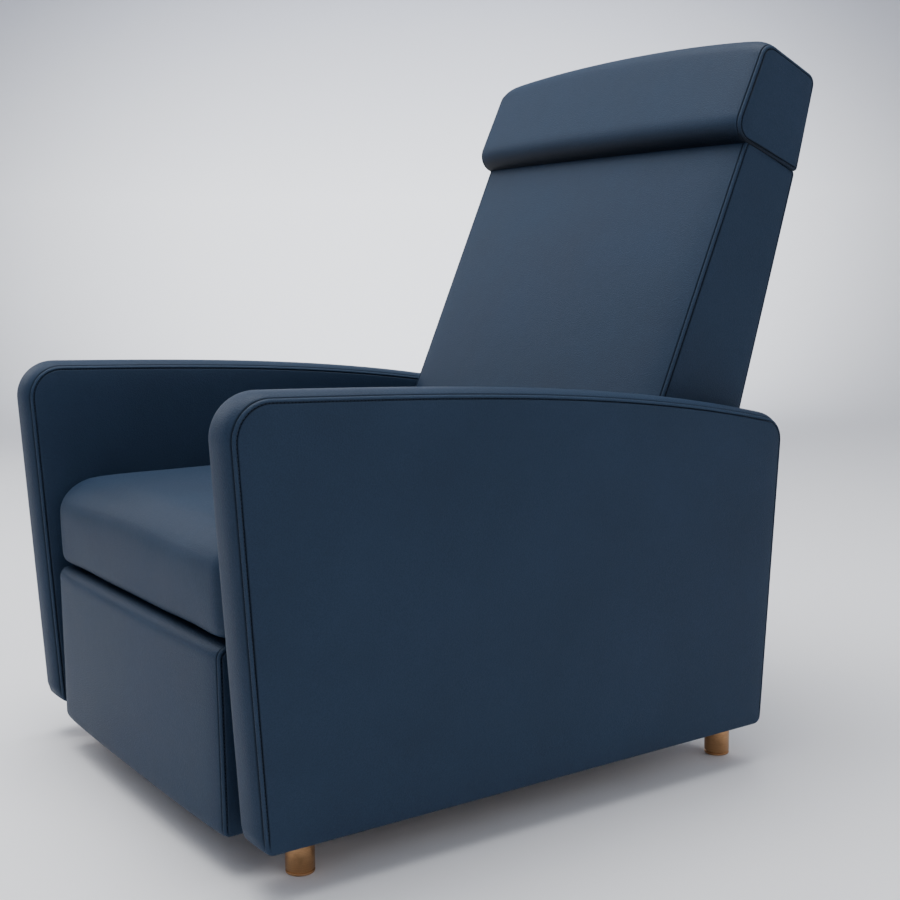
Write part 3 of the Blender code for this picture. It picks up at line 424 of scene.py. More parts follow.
def band_section(half_width, rise, reach, arch, power, columns):
    """Across a band, from its middle to its hidden margin, so that crown and groove can fade.

    Each row holds x, the outward base, the crown, the groove's outward and sideways pull,
    and how much the row is a ridge, lightened as a painted highlight, and a crevice, darkened
    with dirt and painted shade.
    """
    flat = half_width - RIDGE
    inside = flat - NEAR_GROOVE[::-1]
    middle = np.linspace(0.0, inside[0], columns, endpoint=False)
    u = np.concatenate([middle, inside])
    crown = swell(flat - u, rise, reach) + arch * (1 - (u / flat) ** power)
    rows = [(x, 0.0, c, groove(flat - x), 0.0, 0.0, crevice(flat - x))
            for x, c in zip(u, crown)]
    for turn in np.linspace(0.06, 0.94, 13):
        angle = math.pi / 2 * turn
        length = RIDGE * math.pi / 2
        away = turn * length
        lift = 0.0003 * math.sin(math.pi * turn)
        pull = groove(away) + groove(length - away) + lift
        x = flat + RIDGE * math.sin(angle)
        n = -RIDGE + RIDGE * math.cos(angle)
        rows.append((x, n, 0.0, pull * math.cos(angle), pull * math.sin(angle),
                     math.sin(math.pi * turn), crevice(min(away, length - away))))
    for depth in (0.0, 0.0006, 0.0014, TUCK):
        rows.append((half_width, -RIDGE - depth, 0.0, 0.0, -GROOVE_DEPTH - depth * 0.5, 0.0, 1.0))
    return np.array(rows)


def cover(name, outline, low_x, high_x, rise=0.003, reach=0.006, arch=0.005, power=2.2,
          crown=None, seam=None, spacing=0.0035, columns=10, face=None, lift=None):
    """A boxed leather cover round an outline: a band between two end panels.

    crown and seam scale the band's crown and its grooves at each point of the outline.
    face = (rise, reach, arch) of the end panels. lift(x share, outline points) moves the
    whole outline, so that a band can arch along X. Returns the band, the panel at high_x,
    the panel at low_x and what seam_lines needs.
    """
    points, normals = even(outline, spacing)
    count = len(points)
    crown = np.ones(count) if crown is None else crown(points, normals)
    seam = np.ones(count) if seam is None else seam(points, normals)
    half = (high_x - low_x) / 2
    centre = (high_x + low_x) / 2
    section = band_section(half, rise, reach, arch, power, columns)
    full = np.vstack([section[::-1] * [-1, 1, 1, 1, -1, 1, 1], section[1:]])
    x, base, crowns, pulls, side_pulls, marks, darks = full.T
    out = base[None, :] + crowns[None, :] * crown[:, None] + pulls[None, :] * seam[:, None]
    across = centre + x[None, :] + side_pulls[None, :] * seam[:, None]
    place = points[:, None, :] + normals[:, None, :] * out[:, :, None]
    if lift is not None:
        share = np.clip(x / half, -1, 1)
        place = place + lift(share, points)
    band_points = np.concatenate([across[:, :, None], place], 2).reshape(-1, 3)
    faces = grid_faces(count, len(x), wrap_rows=True)
    # ridge lightens the band as a painted highlight; dark marks dirt and painted shade along the
    # grooves
    ridge = np.tile(marks, count) * np.repeat(seam, len(x))
    dark = np.tile(darks, count) * np.repeat(seam, len(x))
    band = mesh_piece(name + "_band", band_points, faces, LEATHER, ridge, dark)

    panels = []
    panel_rise, panel_reach, panel_arch = face or (0.0022, 0.007, 0.002)
    loop = points - normals * RIDGE
    middle = loop.mean(0)
    radius = np.linalg.norm(loop - middle, axis=1).mean()
    near = np.concatenate([NEAR_GROOVE[:-1], [0.009, 0.012, 0.016, 0.021, 0.027]]) / radius
    shares = np.concatenate([near, np.linspace(near[-1], 1.0, 16)[1:-1]])
    for sign in (1, -1):
        rings = [loop + normals * TUCK * 0.4]
        rings += [loop + (middle - loop) * share for share in shares]
        flat_points = np.concatenate(rings + [middle[None, :]])
        distance = distance_to_loop(flat_points, loop)
        distance[:count] = 0.0
        fade = np.concatenate([np.tile(seam, len(rings)), [1.0]])
        local = (flat_points - middle) / (np.abs(loop - middle).max(0))
        dome = np.clip(1 - local[:, 0] ** 2, 0, 1) * np.clip(1 - local[:, 1] ** 2, 0, 1)
        height = groove(distance) * fade + swell(distance, panel_rise, panel_reach)
        height += panel_arch * dome
        height[:count] = -GROOVE_DEPTH - TUCK * 0.5
        shifted = flat_points.copy()
        if lift is not None:
            shifted = flat_points + lift(np.array([float(sign)]), flat_points)[:, 0, :]
        solid = np.concatenate([(centre + sign * (half + height))[:, None], shifted], 1)
        faces = grid_faces(len(rings), count, wrap_columns=True, flip=sign > 0)
        faces += fan((len(rings) - 1) * count, count, len(solid) - 1, flip=sign < 0)
        panels.append(mesh_piece(f"{name}_{'high' if sign > 0 else 'low'}", solid, faces, LEATHER,
                                 np.zeros(len(solid)), crevice(distance) * fade))
    return band, panels[0], panels[1], (points, normals, seam, half, centre, lift)


def distance_to_loop(points, loop):
    """Least distance from each point to a closed line."""
    start = loop
    step = np.roll(loop, -1, 0) - loop
    length = (step ** 2).sum(1)
    best = np.full(len(points), 1e9)
    for chunk in range(0, len(points), 400):
        part = points[chunk:chunk + 400]
        offset = part[:, None, :] - start[None, :, :]
        t = np.clip((offset * step[None]).sum(2) / length[None], 0, 1)
        gap = offset - t[:, :, None] * step[None]
        best[chunk:chunk + 400] = np.sqrt((gap ** 2).sum(2).min(1))
    return best


STITCH = 0.0034
STITCH_PITCH = 0.0048
STITCH_RADIUS = 0.00042
STITCH_SLANT = 0.10


def stitches(name, lines, body):
    """Lockstitches along lines of (points, out direction), each a slim capsule."""
    template, faces = capsule()
    solid = []
    for points, ups in lines:
        steps = np.linalg.norm(np.diff(points, axis=0), axis=1)
        lengths = np.concatenate([[0], np.cumsum(steps)])
        places = np.arange(STITCH_PITCH, lengths[-1] - STITCH_PITCH, STITCH_PITCH)

        def at(values, shift):
            return np.stack([np.interp(places + shift, lengths, values[:, k])
                             for k in range(3)], 1)

        start, end, up = at(points, -STITCH / 2), at(points, STITCH / 2), at(ups, 0.0)
        along = end - start
        along /= np.linalg.norm(along, axis=1)[:, None]
        up -= along * (up * along).sum(1)[:, None]
        up /= np.linalg.norm(up, axis=1)[:, None]
        side = np.cross(along, up)
        centre = (start + end) / 2 + up * STITCH_RADIUS * 0.5
        axes = np.stack([along + side * STITCH_SLANT, up, side], 1)
        solid.append((centre[:, None, :] + template[None] @ axes).reshape(-1, 3))
    solid = np.concatenate(solid)
    faces = [[start + k for k in face]
             for start in range(0, len(solid), len(template)) for face in faces]
    belongs(mesh_piece(name, solid, faces, THREAD), "upholstery", body)


def capsule(sides=6):
    radius, half = STITCH_RADIUS, STITCH / 2
    rings = [(-half + 0.2 * radius, 0.6), (-half + radius, 1.0), (half - radius, 1.0),
             (half - 0.2 * radius, 0.6)]
    points = [(-half, 0.0, 0.0)]
    for along, size in rings:
        for k in range(sides):
            turn = 2 * math.pi * k / sides
            points.append((along, radius * size * math.cos(turn), radius * size * math.sin(turn)))
    points.append((half, 0.0, 0.0))
    faces = fan(1, sides, 0, flip=True)
    faces += grid_faces(len(rings), sides, wrap_columns=True, start=1)
    faces += fan(1 + (len(rings) - 1) * sides, sides, len(points) - 1)
    return np.array(points), faces


SEWN = 0.6               # least depth of a groove, of its full depth, that is stitched


def seam_lines(shape):
    """The four rows of stitching of a cover, where its grooves are deep enough."""
    points, normals, seam, half, centre, lift = shape
    lines = []
    kept = np.flatnonzero(seam > SEWN)
    if len(kept) == len(points):
        runs = [np.append(kept, kept[0])]
    else:
        breaks = np.flatnonzero(np.diff(kept) > 1)
        runs = np.split(kept, breaks + 1)
        if len(runs) > 1 and kept[0] == 0 and kept[-1] == len(points) - 1:
            runs = [np.concatenate([runs[-1], runs[0]])] + runs[1:-1]
    for run in runs:
        if len(run) < 4:
            continue
        p, n = points[run], normals[run]
        for sign in (1, -1):
            for x, down, up_x in ((half - RIDGE, GROOVE_DEPTH, 0.0),
                                  (half - GROOVE_DEPTH, RIDGE, 1.0)):
                place = p - n * down
                if lift is not None:
                    place = place + lift(np.array([sign * x / half]), p)[:, 0, :]
                line = np.concatenate([np.full((len(run), 1), centre + sign * x), place], 1)
                up = np.concatenate([np.full((len(run), 1), sign * up_x), n * (1 - up_x)], 1)
                lines.append((line, up))
    return lines


def dress(body, stitching, shape, *pieces):
    """Finishes a cover: pieces are (object, name, fill, the nodes that it stands for)."""
    for obj, name, fill, nodes in pieces:
        obj.name = name
        belongs(obj, "upholstery", body, *nodes, fill=fill)
    stitches(stitching, seam_lines(shape), body)


# ---------------------------------------------------------------- arms
ARM_BOTTOM_Z, ARM_FRONT_Y, ARM_REAR_Y = 0.060, -0.480, 0.337
ARM_FRONT_LEAN, ARM_REAR_LEAN = -0.0525, 0.080


def arm_top_z(y):
    run = y - ARM_FRONT_Y
    return 0.5975 - 0.037 * run - 0.0875 * max(run, 0.0) ** 3


def arm_outline():
    front_y = ARM_FRONT_Y + ARM_FRONT_LEAN * (arm_top_z(ARM_FRONT_Y) - ARM_BOTTOM_Z)
    rear_y = ARM_REAR_Y + ARM_REAR_LEAN * (arm_top_z(ARM_REAR_Y) - ARM_BOTTOM_Z)
    corners = [(ARM_FRONT_Y, ARM_BOTTOM_Z, 0.012), (ARM_REAR_Y, ARM_BOTTOM_Z, 0.012),
               (rear_y, arm_top_z(rear_y), 0.034)]
    for step in range(23, 0, -1):
        y = front_y + (rear_y - front_y) * step / 24
        if front_y + 0.07 < y < rear_y - 0.045:
            corners.append((y, arm_top_z(y), 0.0))
    corners.append((front_y, arm_top_z(front_y), 0.048))
    return arc_corners(corners)


def from_bottom(points, normals):
    """1 on the arm's front, top and rear, fading to 0 where the cover turns under."""
    return np.clip((points[:, 1] - ARM_BOTTOM_Z - 0.004) / 0.020, 0, 1)


def make_arms():
    outline = arm_outline()
    for side, sign in SIDES.items():
        low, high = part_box(f"arm_band_{side}")
        shrink = 0.0015
        band, high_panel, low_panel, shape = cover(
            f"arm_{side}", outline, low.x + shrink, high.x - shrink, rise=0.0030, reach=0.005,
            arch=0.0048, power=2.4, crown=lambda p, n: 0.1 + 0.9 * from_bottom(p, n),
            seam=from_bottom, face=(0.0030, 0.014, 0.0045))
        outer, inner = (high_panel, low_panel) if sign > 0 else (low_panel, high_panel)
        dress("root", f"arm_{side}_stitching", shape,
              (band, f"arm_{side}_boxing", 0.9, [f"arm_band_{side}"]),
              (outer, f"arm_{side}_outer_cover", 0.9, [f"arm_outer_panel_{side}"]),
              (inner, f"arm_{side}_inner_cover", 0.9, [f"arm_inner_panel_{side}"]))


# ---------------------------------------------------------------- back and headrest
BACK_LEAN, BACK_REAR_LEAN = math.radians(24.0), math.radians(17.3)
BACK_BOTTOM_Z, BACK_FRONT_Y, BACK_DEPTH, BACK_LENGTH = 0.330, 0.103, 0.1975, 0.647
SINE, COSINE = math.sin(BACK_LEAN), math.cos(BACK_LEAN)


def back_front_y(z):
    return BACK_FRONT_Y + (z - BACK_BOTTOM_Z) * math.tan(BACK_LEAN)


def back_point(along, depth):
    """(y, z) from the crease below the headrest, up the front face and behind it."""
    crease_z = BACK_BOTTOM_Z + BACK_LENGTH * COSINE
    return (back_front_y(crease_z) + along * SINE + depth * COSINE,
            crease_z + along * COSINE - depth * SINE)


def rear_edge(along):
    y, z = back_point(along, 0.0)
    lean = math.tan(BACK_REAR_LEAN)
    rear_y = BACK_FRONT_Y + BACK_DEPTH + (z - BACK_BOTTOM_Z) * lean
    return back_point(along, (rear_y - y) / (COSINE + lean * SINE))


def facing(normals, direction):
    """1 where an outline faces a direction, 0 where it faces away."""
    direction = np.array(direction) / np.linalg.norm(direction)
    return np.clip((normals @ direction - 0.55) / 0.35, 0, 1)


def make_back():
    outline = arc_corners([
        (BACK_FRONT_Y, BACK_BOTTOM_Z, 0.012), (BACK_FRONT_Y + BACK_DEPTH, BACK_BOTTOM_Z, 0.012),
        (*rear_edge(0.004), 0.010), (*back_point(0.004, 0.0), 0.010)])
    low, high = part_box("back_cushion")

    def crown(points, normals):
        front = facing(normals, (-COSINE, SINE))
        rear = facing(normals, (1.0, -0.25))
        along = (points[:, 1] - BACK_BOTTOM_Z) / (BACK_LENGTH * COSINE)
        belly = np.clip(np.sin(np.pi * np.clip(along, 0.0, 1.0)), 0, 1) ** 0.5
        return smooth_loop(front * (0.35 + 0.65 * belly) + 0.30 * rear, 12)

    def seam(points, normals):
        above = np.clip((points[:, 1] - BACK_BOTTOM_Z - 0.010) / 0.020, 0, 1)
        return smooth_loop(above, 3)

    band, left, right, shape = cover(
        "back", outline, low.x + 0.0015, high.x - 0.0015, rise=0.0075, reach=0.024, arch=0.008,
        power=2.2, crown=crown, seam=seam, columns=46, spacing=0.005, face=(0.0020, 0.008, 0.001))
    dress("back", "back_stitching", shape,
          (band, "back_boxing", 0.85, ["back_cushion", "back_rear_panel"]),
          (left, "back_left_side_cover", 0.9, ["back_side_panel_left"]),
          (right, "back_right_side_cover", 0.9, ["back_side_panel_right"]))


HEADREST_HEIGHT, HEADREST_PROJECTION, HEADREST_DEPTH = 0.145, 0.0305, 0.121
HEADREST_ARCH = 0.018
HEADREST_HANG = 0.007


CREASE_SHADE, CREASE_REACH = 0.90, 0.013


def shade_underside(band, base, up):
    """Painted shade: the rolled underside is darkened towards the crease, where it nearly meets
    the back.
    """
    points = read_points(band)
    above = np.maximum((points[:, 1:] - base) @ up + HEADREST_HANG, 0.0)
    values = np.zeros(len(points))
    mark = band.data.attributes["crevice"].data
    mark.foreach_get("value", values)
    # painted shade, strongest at the crease
    shade = CREASE_SHADE * np.exp(-(above / CREASE_REACH) ** 2)
    mark.foreach_set("value", np.maximum(values, shade))


def make_headrest():
    lift_off = 0.0008
    rear_y, rear_z = rear_edge(lift_off)
    outline = arc_corners([
        (*back_point(-HEADREST_HANG, -HEADREST_PROJECTION), 0.028), (rear_y, rear_z, 0.006),
        (*back_point(HEADREST_HEIGHT, HEADREST_DEPTH - HEADREST_PROJECTION), 0.016),
        (*back_point(HEADREST_HEIGHT, -HEADREST_PROJECTION + 0.004), 0.022)])
    low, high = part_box("headrest_bolster")
    base = np.array(back_point(0.0, 0.0))
    up = np.array([SINE, COSINE])

    def arch(share, points):
        """The top is arched along X; the underside stays level."""
        height = np.clip(((points - base) @ up) / HEADREST_HEIGHT, 0, 1)
        bow = HEADREST_ARCH * (1 - 0.72 * share ** 2)
        drop = -0.005 * np.clip((np.abs(share) - 0.90) / 0.10, 0, 1) ** 2
        return (height[:, None] * (bow + drop)[None, :])[:, :, None] * up[None, None, :]

    def crown(points, normals):
        front = facing(normals, (-COSINE, SINE))
        top = facing(normals, (SINE, COSINE))
        return smooth_loop(0.15 + 0.85 * front + 0.5 * top, 16)

    band, left, right, shape = cover(
        "headrest", outline, low.x + 0.001, high.x - 0.001, rise=0.0050, reach=0.014,
        arch=0.0050, power=2.6, crown=crown, columns=46, spacing=0.004,
        face=(0.0025, 0.009, 0.0030), lift=arch)
    shade_underside(band, base, up)
    dress("back", "headrest_stitching", shape,
          (band, "headrest_boxing", 0.9, ["headrest_bolster"]),
          (left, "headrest_left_end", 0.9, ["headrest_bolster"]),
          (right, "headrest_right_end", 0.9, ["headrest_bolster"]))


# ---------------------------------------------------------------- soft pads
EDGE_STEPS = 10          # round the edge of a pad's end
END_RINGS = 9            # across a pad's flat end
END_REACH = 0.94         # how near to its middle the last of them lies


def closed_pad(outline, half_x, edge, spacing, columns):
    """Points and faces of a closed pad round an outline, extruded along X."""
    points, normals = even(outline, spacing)
    count = len(points)
    middle = points.mean(0)
    turns = np.linspace(0.0, math.pi / 2, EDGE_STEPS)
    tail = half_x - edge + edge * np.sin(turns)
    depth = edge * (1 - np.cos(turns))
    flat = points - normals * edge
    rings = [(-half_x, flat + (middle - flat) * share)
             for share in np.linspace(END_REACH, 0.0, END_RINGS)[:-1]]
    rings += [(-x, points - normals * d) for x, d in zip(tail[::-1], depth[::-1])]
    rings += [(x, points) for x in np.linspace(-(half_x - edge), half_x - edge, columns)[1:-1]]
    rings += [(x, points - normals * d) for x, d in zip(tail, depth)]
    rings += [(half_x, flat + (middle - flat) * share)
              for share in np.linspace(0.0, END_REACH, END_RINGS)[1:]]
    solid = np.concatenate([np.insert(ring, 0, x, axis=1) for x, ring in rings])
    faces = grid_faces(len(rings), count, wrap_columns=True, flip=True)
    solid = np.vstack([solid, [[-half_x, *middle]], [[half_x, *middle]]])
    low_tip, high_tip = len(solid) - 2, len(solid) - 1
    last = (len(rings) - 1) * count
    for k in range(count):
        following = (k + 1) % count
        faces.append([following, k, low_tip])
        faces.append([last + k, last + following, high_tip])
    return solid, faces


FILLING_FRAMES, FILLING_VOXEL, FILLING_PRESSURE = 20, 0.006, 4.0
FILLING_MASS, FILLING_STIFFNESS, FILLING_BEND = 0.4, 12, 3
FILLING_PASSES = 80      # that even out how far it pushes


def inflate(obj, cap):
    """Swells a closed pad with a cloth simulation, keeping every point within cap."""
    remesh = obj.modifiers.new("remesh", "REMESH")
    remesh.mode = "VOXEL"
    remesh.voxel_size = FILLING_VOXEL
    apply_modifiers(obj)
    before = read_points(obj)
    cloth = obj.modifiers.new("cloth", "CLOTH")
    settings = cloth.settings
    settings.quality = 5
    settings.mass = FILLING_MASS
    settings.use_pressure = True
    settings.uniform_pressure_force = FILLING_PRESSURE
    settings.tension_stiffness = settings.compression_stiffness = FILLING_STIFFNESS
    settings.bending_stiffness = FILLING_BEND
    settings.effector_weights.gravity = 0
    cloth.point_cache.frame_start = 1
    cloth.point_cache.frame_end = FILLING_FRAMES
    for step in range(1, FILLING_FRAMES + 1):
        bpy.context.scene.frame_set(step)
    apply_modifiers(obj)
    bpy.context.scene.frame_set(1)
    move = read_points(obj) - before
    size = np.linalg.norm(move, axis=1)[:, None]
    move *= np.minimum(1.0, cap / np.maximum(size, 1e-9))
    write_points(obj, before + spread(obj, move, FILLING_PASSES))


SPREAD_SHARE = 0.6       # of its neighbours' mean that a point takes in each pass


def spread(obj, values, times):
    """Evens out values over a mesh, each point moving towards its neighbours' mean."""
    edges = np.zeros(len(obj.data.edges) * 2, np.int64)
    obj.data.edges.foreach_get("vertices", edges)
    first, second = edges.reshape(-1, 2).T
    count = len(values)
    degree = np.bincount(np.concatenate([first, second]), minlength=count)[:, None]
    for _ in range(times):
        total = np.stack([
            np.bincount(first, values[second, k], count)
            + np.bincount(second, values[first, k], count) for k in range(3)], 1)
        values = (1 - SPREAD_SHARE) * values + SPREAD_SHARE * total / degree
    return values


def apply_modifiers(obj):
    bpy.context.view_layer.update()
    graph = bpy.context.evaluated_depsgraph_get()
    mesh = bpy.data.meshes.new_from_object(obj.evaluated_get(graph))
    old = obj.data
    obj.modifiers.clear()
    obj.data = mesh
    bpy.data.meshes.remove(old)
    mesh.shade_smooth()


def read_points(obj):
    points = np.zeros(len(obj.data.vertices) * 3)
    obj.data.vertices.foreach_get("co", points)
    return points.reshape(-1, 3)


def write_points(obj, points):
    obj.data.vertices.foreach_set("co", np.asarray(points, float).ravel())
    obj.data.update()


def subdivided(obj):
    subdivision = obj.modifiers.new("finish", "SUBSURF")
    subdivision.levels = subdivision.render_levels = 1
    apply_modifiers(obj)


SEAT_HALF, SEAT_FRONT_Y, SEAT_LOW_Z = 0.3145, -0.488, 0.2947
SEAT_TOP_Z = 0.440       # before its crown
SEAT_REAR_GAP = 0.014    # to the back
SEAT_INSET = 0.003       # of its sides, before its filling swells it
SEAT_EDGE = 0.034
SEAT_CROWN, SEAT_DROP = 0.013, 0.022
SEAT_BULGE = 0.004       # of the middle of its front edge
SEAT_FILLING = 0.010     # how far its filling may push a point


def make_seat():
    outline = arc_corners([
        (SEAT_FRONT_Y, SEAT_LOW_Z, 0.013),
        (back_front_y(SEAT_LOW_Z) - SEAT_REAR_GAP, SEAT_LOW_Z, 0.020),
        (back_front_y(SEAT_TOP_Z) - SEAT_REAR_GAP, SEAT_TOP_Z, 0.028),
        (SEAT_FRONT_Y, SEAT_TOP_Z, 0.058)])
    solid, faces = closed_pad(outline, SEAT_HALF - SEAT_INSET, SEAT_EDGE, 0.008, 56)
    across = np.abs(solid[:, 0]) / SEAT_HALF
    height = np.clip((solid[:, 2] - SEAT_LOW_Z) / (SEAT_TOP_Z - SEAT_LOW_Z), 0, 1)
    solid[:, 2] += height ** 1.5 * (SEAT_CROWN * (1 - across ** 2.6) - SEAT_DROP)
    front = np.clip((-0.30 - solid[:, 1]) / 0.18, 0, 1)
    solid[:, 1] -= front * SEAT_BULGE * (1 - across ** 2)
    obj = mesh_piece("seat_cushion_cover", solid, faces, LEATHER)
    inflate(obj, SEAT_FILLING)
    subdivided(obj)
    belongs(obj, "upholstery", "seat", "seat_cushion", fill=0.85)


FOOTREST_RISE = 0.007    # of its padded top above its board


def make_footrest():
    """A boxed cover with a sewn edge down each side of its front face."""
    low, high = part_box("ottoman_pad")
    top = high.z + FOOTREST_RISE
    outline = arc_corners([(low.y, low.z, 0.009), (high.y, low.z, 0.007),
                           (high.y, top, 0.008), (low.y, top, 0.015)])

    def crown(points, normals):
        return smooth_loop(facing(normals, (-1.0, 0.0)), 6)

    def seam(points, normals):
        return smooth_loop(facing(normals, (-1.0, 0.35)), 3)

    band, left, right, shape = cover(
        "footrest", outline, low.x + 0.001, high.x - 0.001, rise=0.0035, reach=0.012,
        arch=0.0045, power=2.6, crown=crown, seam=seam, columns=46, spacing=0.004,
        face=(0.0012, 0.006, 0.0005))
    dress("ottoman", "footrest_stitching", shape,
          (band, "footrest_boxing", 0.85, ["ottoman_pad"]),
          (left, "footrest_left_end", 0.85, ["ottoman_pad"]),
          (right, "footrest_right_end", 0.85, ["ottoman_pad"]))


APRON_EDGE, APRON_BULGE = 0.007, 0.0025


def make_apron():
    """A thin upholstered board: rounded edges and a slight swell on both faces."""
    low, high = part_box("rear_apron")
    outline = arc_corners([(low.y, low.z, APRON_EDGE), (high.y, low.z, APRON_EDGE),
                           (high.y, high.z, APRON_EDGE), (low.y, high.z, APRON_EDGE)])
    solid, faces = closed_pad(outline, high.x, APRON_EDGE, 0.006, 50)
    across = np.clip(np.abs(solid[:, 0]) / high.x, 0, 1)
    height = np.clip(np.abs(solid[:, 2] - (low.z + high.z) / 2) / (high.z - low.z) * 2, 0, 1)
    swelling = APRON_BULGE * ((1 - across ** 4) * (1 - height ** 4) - 1)
    solid[:, 1] += np.sign(solid[:, 1] - (low.y + high.y) / 2) * swelling
    obj = mesh_piece("rear_apron_cover", solid, faces, LEATHER)
    belongs(obj, "upholstery", "root", "rear_apron", fill=0.7)


def two_skins(name, upper, lower, rows, columns, material, turn=False):
    """A sheet from the nets of its two faces, closed round its border."""
    count = rows * columns
    faces = grid_faces(rows, columns) + grid_faces(rows, columns, flip=True, start=count)
    border = list(range(columns)) + [r * columns + columns - 1 for r in range(1, rows)]
    border += [(rows - 1) * columns + k for k in range(columns - 2, -1, -1)]
    border += [r * columns for r in range(rows - 2, 0, -1)]
    for a, b in zip(border, border[1:] + border[:1]):
        edge = [a, b, b + count, a + count]
        faces.append(edge[::-1] if turn else edge)
    return mesh_piece(name, np.concatenate([upper, lower]), faces, material)


FLAP_SKIN, FLAP_FOLD, FLAP_INSET = 0.0022, 0.006, 0.0015
FLAP_WAVE, FLAP_HEM = 0.0012, (0.0012, 0.0008)
HEM_ROWS = 4


def make_flap():
    """The flap below the back's rear panel: one skin of leather with a turned hem."""
    low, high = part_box("back_skirt")
    rows, columns = 26, 61
    xs = np.linspace(low.x, high.x, columns)
    net = []
    for level in np.linspace(0.0, 1.0, rows):
        y = high.y + (low.y + FLAP_FOLD - high.y) * level - FLAP_INSET
        wave = FLAP_WAVE * level * np.sin(xs * 21.0 + 0.6) - 0.001 * level
        z = high.z + (low.z - high.z) * level
        net.append(np.stack([xs, y + wave, np.full(columns, z)], 1))
    rear = np.array(net)
    front = rear.copy()
    front[:, :, 1] -= FLAP_SKIN
    front[-HEM_ROWS:, :, 1] -= FLAP_HEM[0]
    rear[-HEM_ROWS:, :, 1] += FLAP_HEM[1]
    obj = two_skins("back_flap", rear.reshape(-1, 3), front.reshape(-1, 3), rows, columns,
                    LEATHER, turn=True)
    belongs(obj, "upholstery", "back", "back_skirt")


CLOTH_THICKNESS, CLOTH_SAG, CLOTH_PUCKER = 0.0004, 0.0035, 0.0006
CLOTH_INSET = 0.0009     # below the frame that it is tacked to


def make_dust_cover():
    """Thin cloth tacked under the base, sagging slightly between the rails."""
    low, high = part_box("dust_cover")
    across, along = 61, 61
    x, y = np.meshgrid(np.linspace(low.x, high.x, across), np.linspace(low.y, high.y, along),
                       indexing="ij")
    u, v = 2 * (x - low.x) / (high.x - low.x) - 1, 2 * (y - low.y) / (high.y - low.y) - 1
    sag = CLOTH_SAG * (1 - u ** 2) * (1 - v ** 2)
    pucker = CLOTH_PUCKER * np.cos(u * 46) * np.exp(-(1 - np.abs(v)) * 14)
    pucker += CLOTH_PUCKER * np.cos(v * 44) * np.exp(-(1 - np.abs(u)) * 14)
    z = high.z - CLOTH_INSET - sag - pucker * (1 - np.abs(u) ** 8) * (1 - np.abs(v) ** 8)
    net = np.stack([x, y, z], 2).reshape(-1, 3)
    obj = two_skins("dust_cover_cloth", net, net - [0.0, 0.0, CLOTH_THICKNESS], across, along,
                    DUST_CLOTH)
    belongs(obj, "dust_cloth", "root", "dust_cover")


STRAP_WIDTH, STRAP_THICKNESS, STRAP_WEAVE = 0.045, 0.00055, 0.0006
STRAPS = {"along": 6, "across": 5}
STRAP_STEPS = 90


def make_webbing():
    """Elastic straps over and under each other, stapled to the seat rails."""
    low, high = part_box("seat_webbing")
    middle_z = (low.z + high.z) / 2
    spans = {"along": (low.x, high.x), "across": (low.y, high.y)}
    centres = {kind: np.linspace(a + STRAP_WIDTH / 2, b - STRAP_WIDTH / 2, STRAPS[kind])
               for kind, (a, b) in spans.items()}
    profile = [(side * STRAP_WIDTH / 2, face * STRAP_THICKNESS / 2)
               for side, face in ((-1, -1), (1, -1), (1, 1), (-1, 1))]
    solid, faces = [], []
    for kind, other in (("along", "across"), ("across", "along")):
        run = np.linspace(*spans[other], STRAP_STEPS)
        for index, centre in enumerate(centres[kind]):
            wave = np.zeros_like(run)
            for crossing, place in enumerate(centres[other]):
                side = 1 if (index + crossing) % 2 else -1
                side = side if kind == "along" else -side
                near = (run - place) / (STRAP_WIDTH * 0.45)
                wave += side * STRAP_WEAVE * np.exp(-near ** 4)
            start = len(solid)
            for position, rise in zip(run, wave):
                for offset, height in profile:
                    flat = (centre + offset, position) if kind == "along" else (
                        position, centre + offset)
                    solid.append((*flat, middle_z + rise + height))
            faces += grid_faces(len(run), 4, wrap_columns=True, start=start,
                                flip=kind == "along")
            faces.append([start + k for k in (0, 1, 2, 3)])
            faces.append([start + 4 * (len(run) - 1) + k for k in (3, 2, 1, 0)])
    obj = mesh_piece("seat_straps", solid, faces, WEBBING)
    belongs(obj, "dust_cloth", "seat", "seat_webbing")


# ---------------------------------------------------------------- feet
FOOT_RADIUS, FOOT_PLATE = 0.0185, 0.003
# height and depth of the outline of the turned groove and end of a foot, from the top down
FOOT_TURNING = ((0.0550, 0.0), (0.0060, 0.0), (0.0056, 0.0002), (0.0053, 0.0008),
                (0.0050, 0.0014), (0.0040, 0.0014), (0.0037, 0.0008), (0.0034, 0.0002),
                (0.0030, 0.0), (0.0018, 0.0), (0.0008, 0.0004), (0.0006, 0.0015))
GLIDE_TURNING = ((0.0008, 0.0025), (0.0003, 0.0022), (0.0, 0.0030))


def make_feet():
    for end in ("front", "rear"):
        for side in SIDES:
            node = f"foot_{end}_{side}"
            low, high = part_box(node)
            centre = ((low.x + high.x) / 2, (low.y + high.y) / 2, 0.0)
            top = high.z - FOOT_PLATE / 2
            profile = [(0.0, top), (FOOT_RADIUS - 0.0005, top)]
            profile += [(FOOT_RADIUS - depth, z) for z, depth in FOOT_TURNING]
            profile.append((0.0, FOOT_TURNING[-1][0]))
            post = turned(f"{node}_tube", profile, centre, BRONZE)
            belongs(post, "bronze", "root", node)
            rim = [(FOOT_RADIUS - depth, z) for z, depth in GLIDE_TURNING]
            glide = turned(f"{node}_glide", [(0.0, rim[0][1]), *rim, (0.0, 0.0)], centre, GLIDE)
            glide.parent = post
            fixing = bevelled_box(f"{node}_plate", (low.x, low.y, high.z - FOOT_PLATE), high,
                                  0.0008, BRONZE)
            belongs(fixing, "bronze", "root")


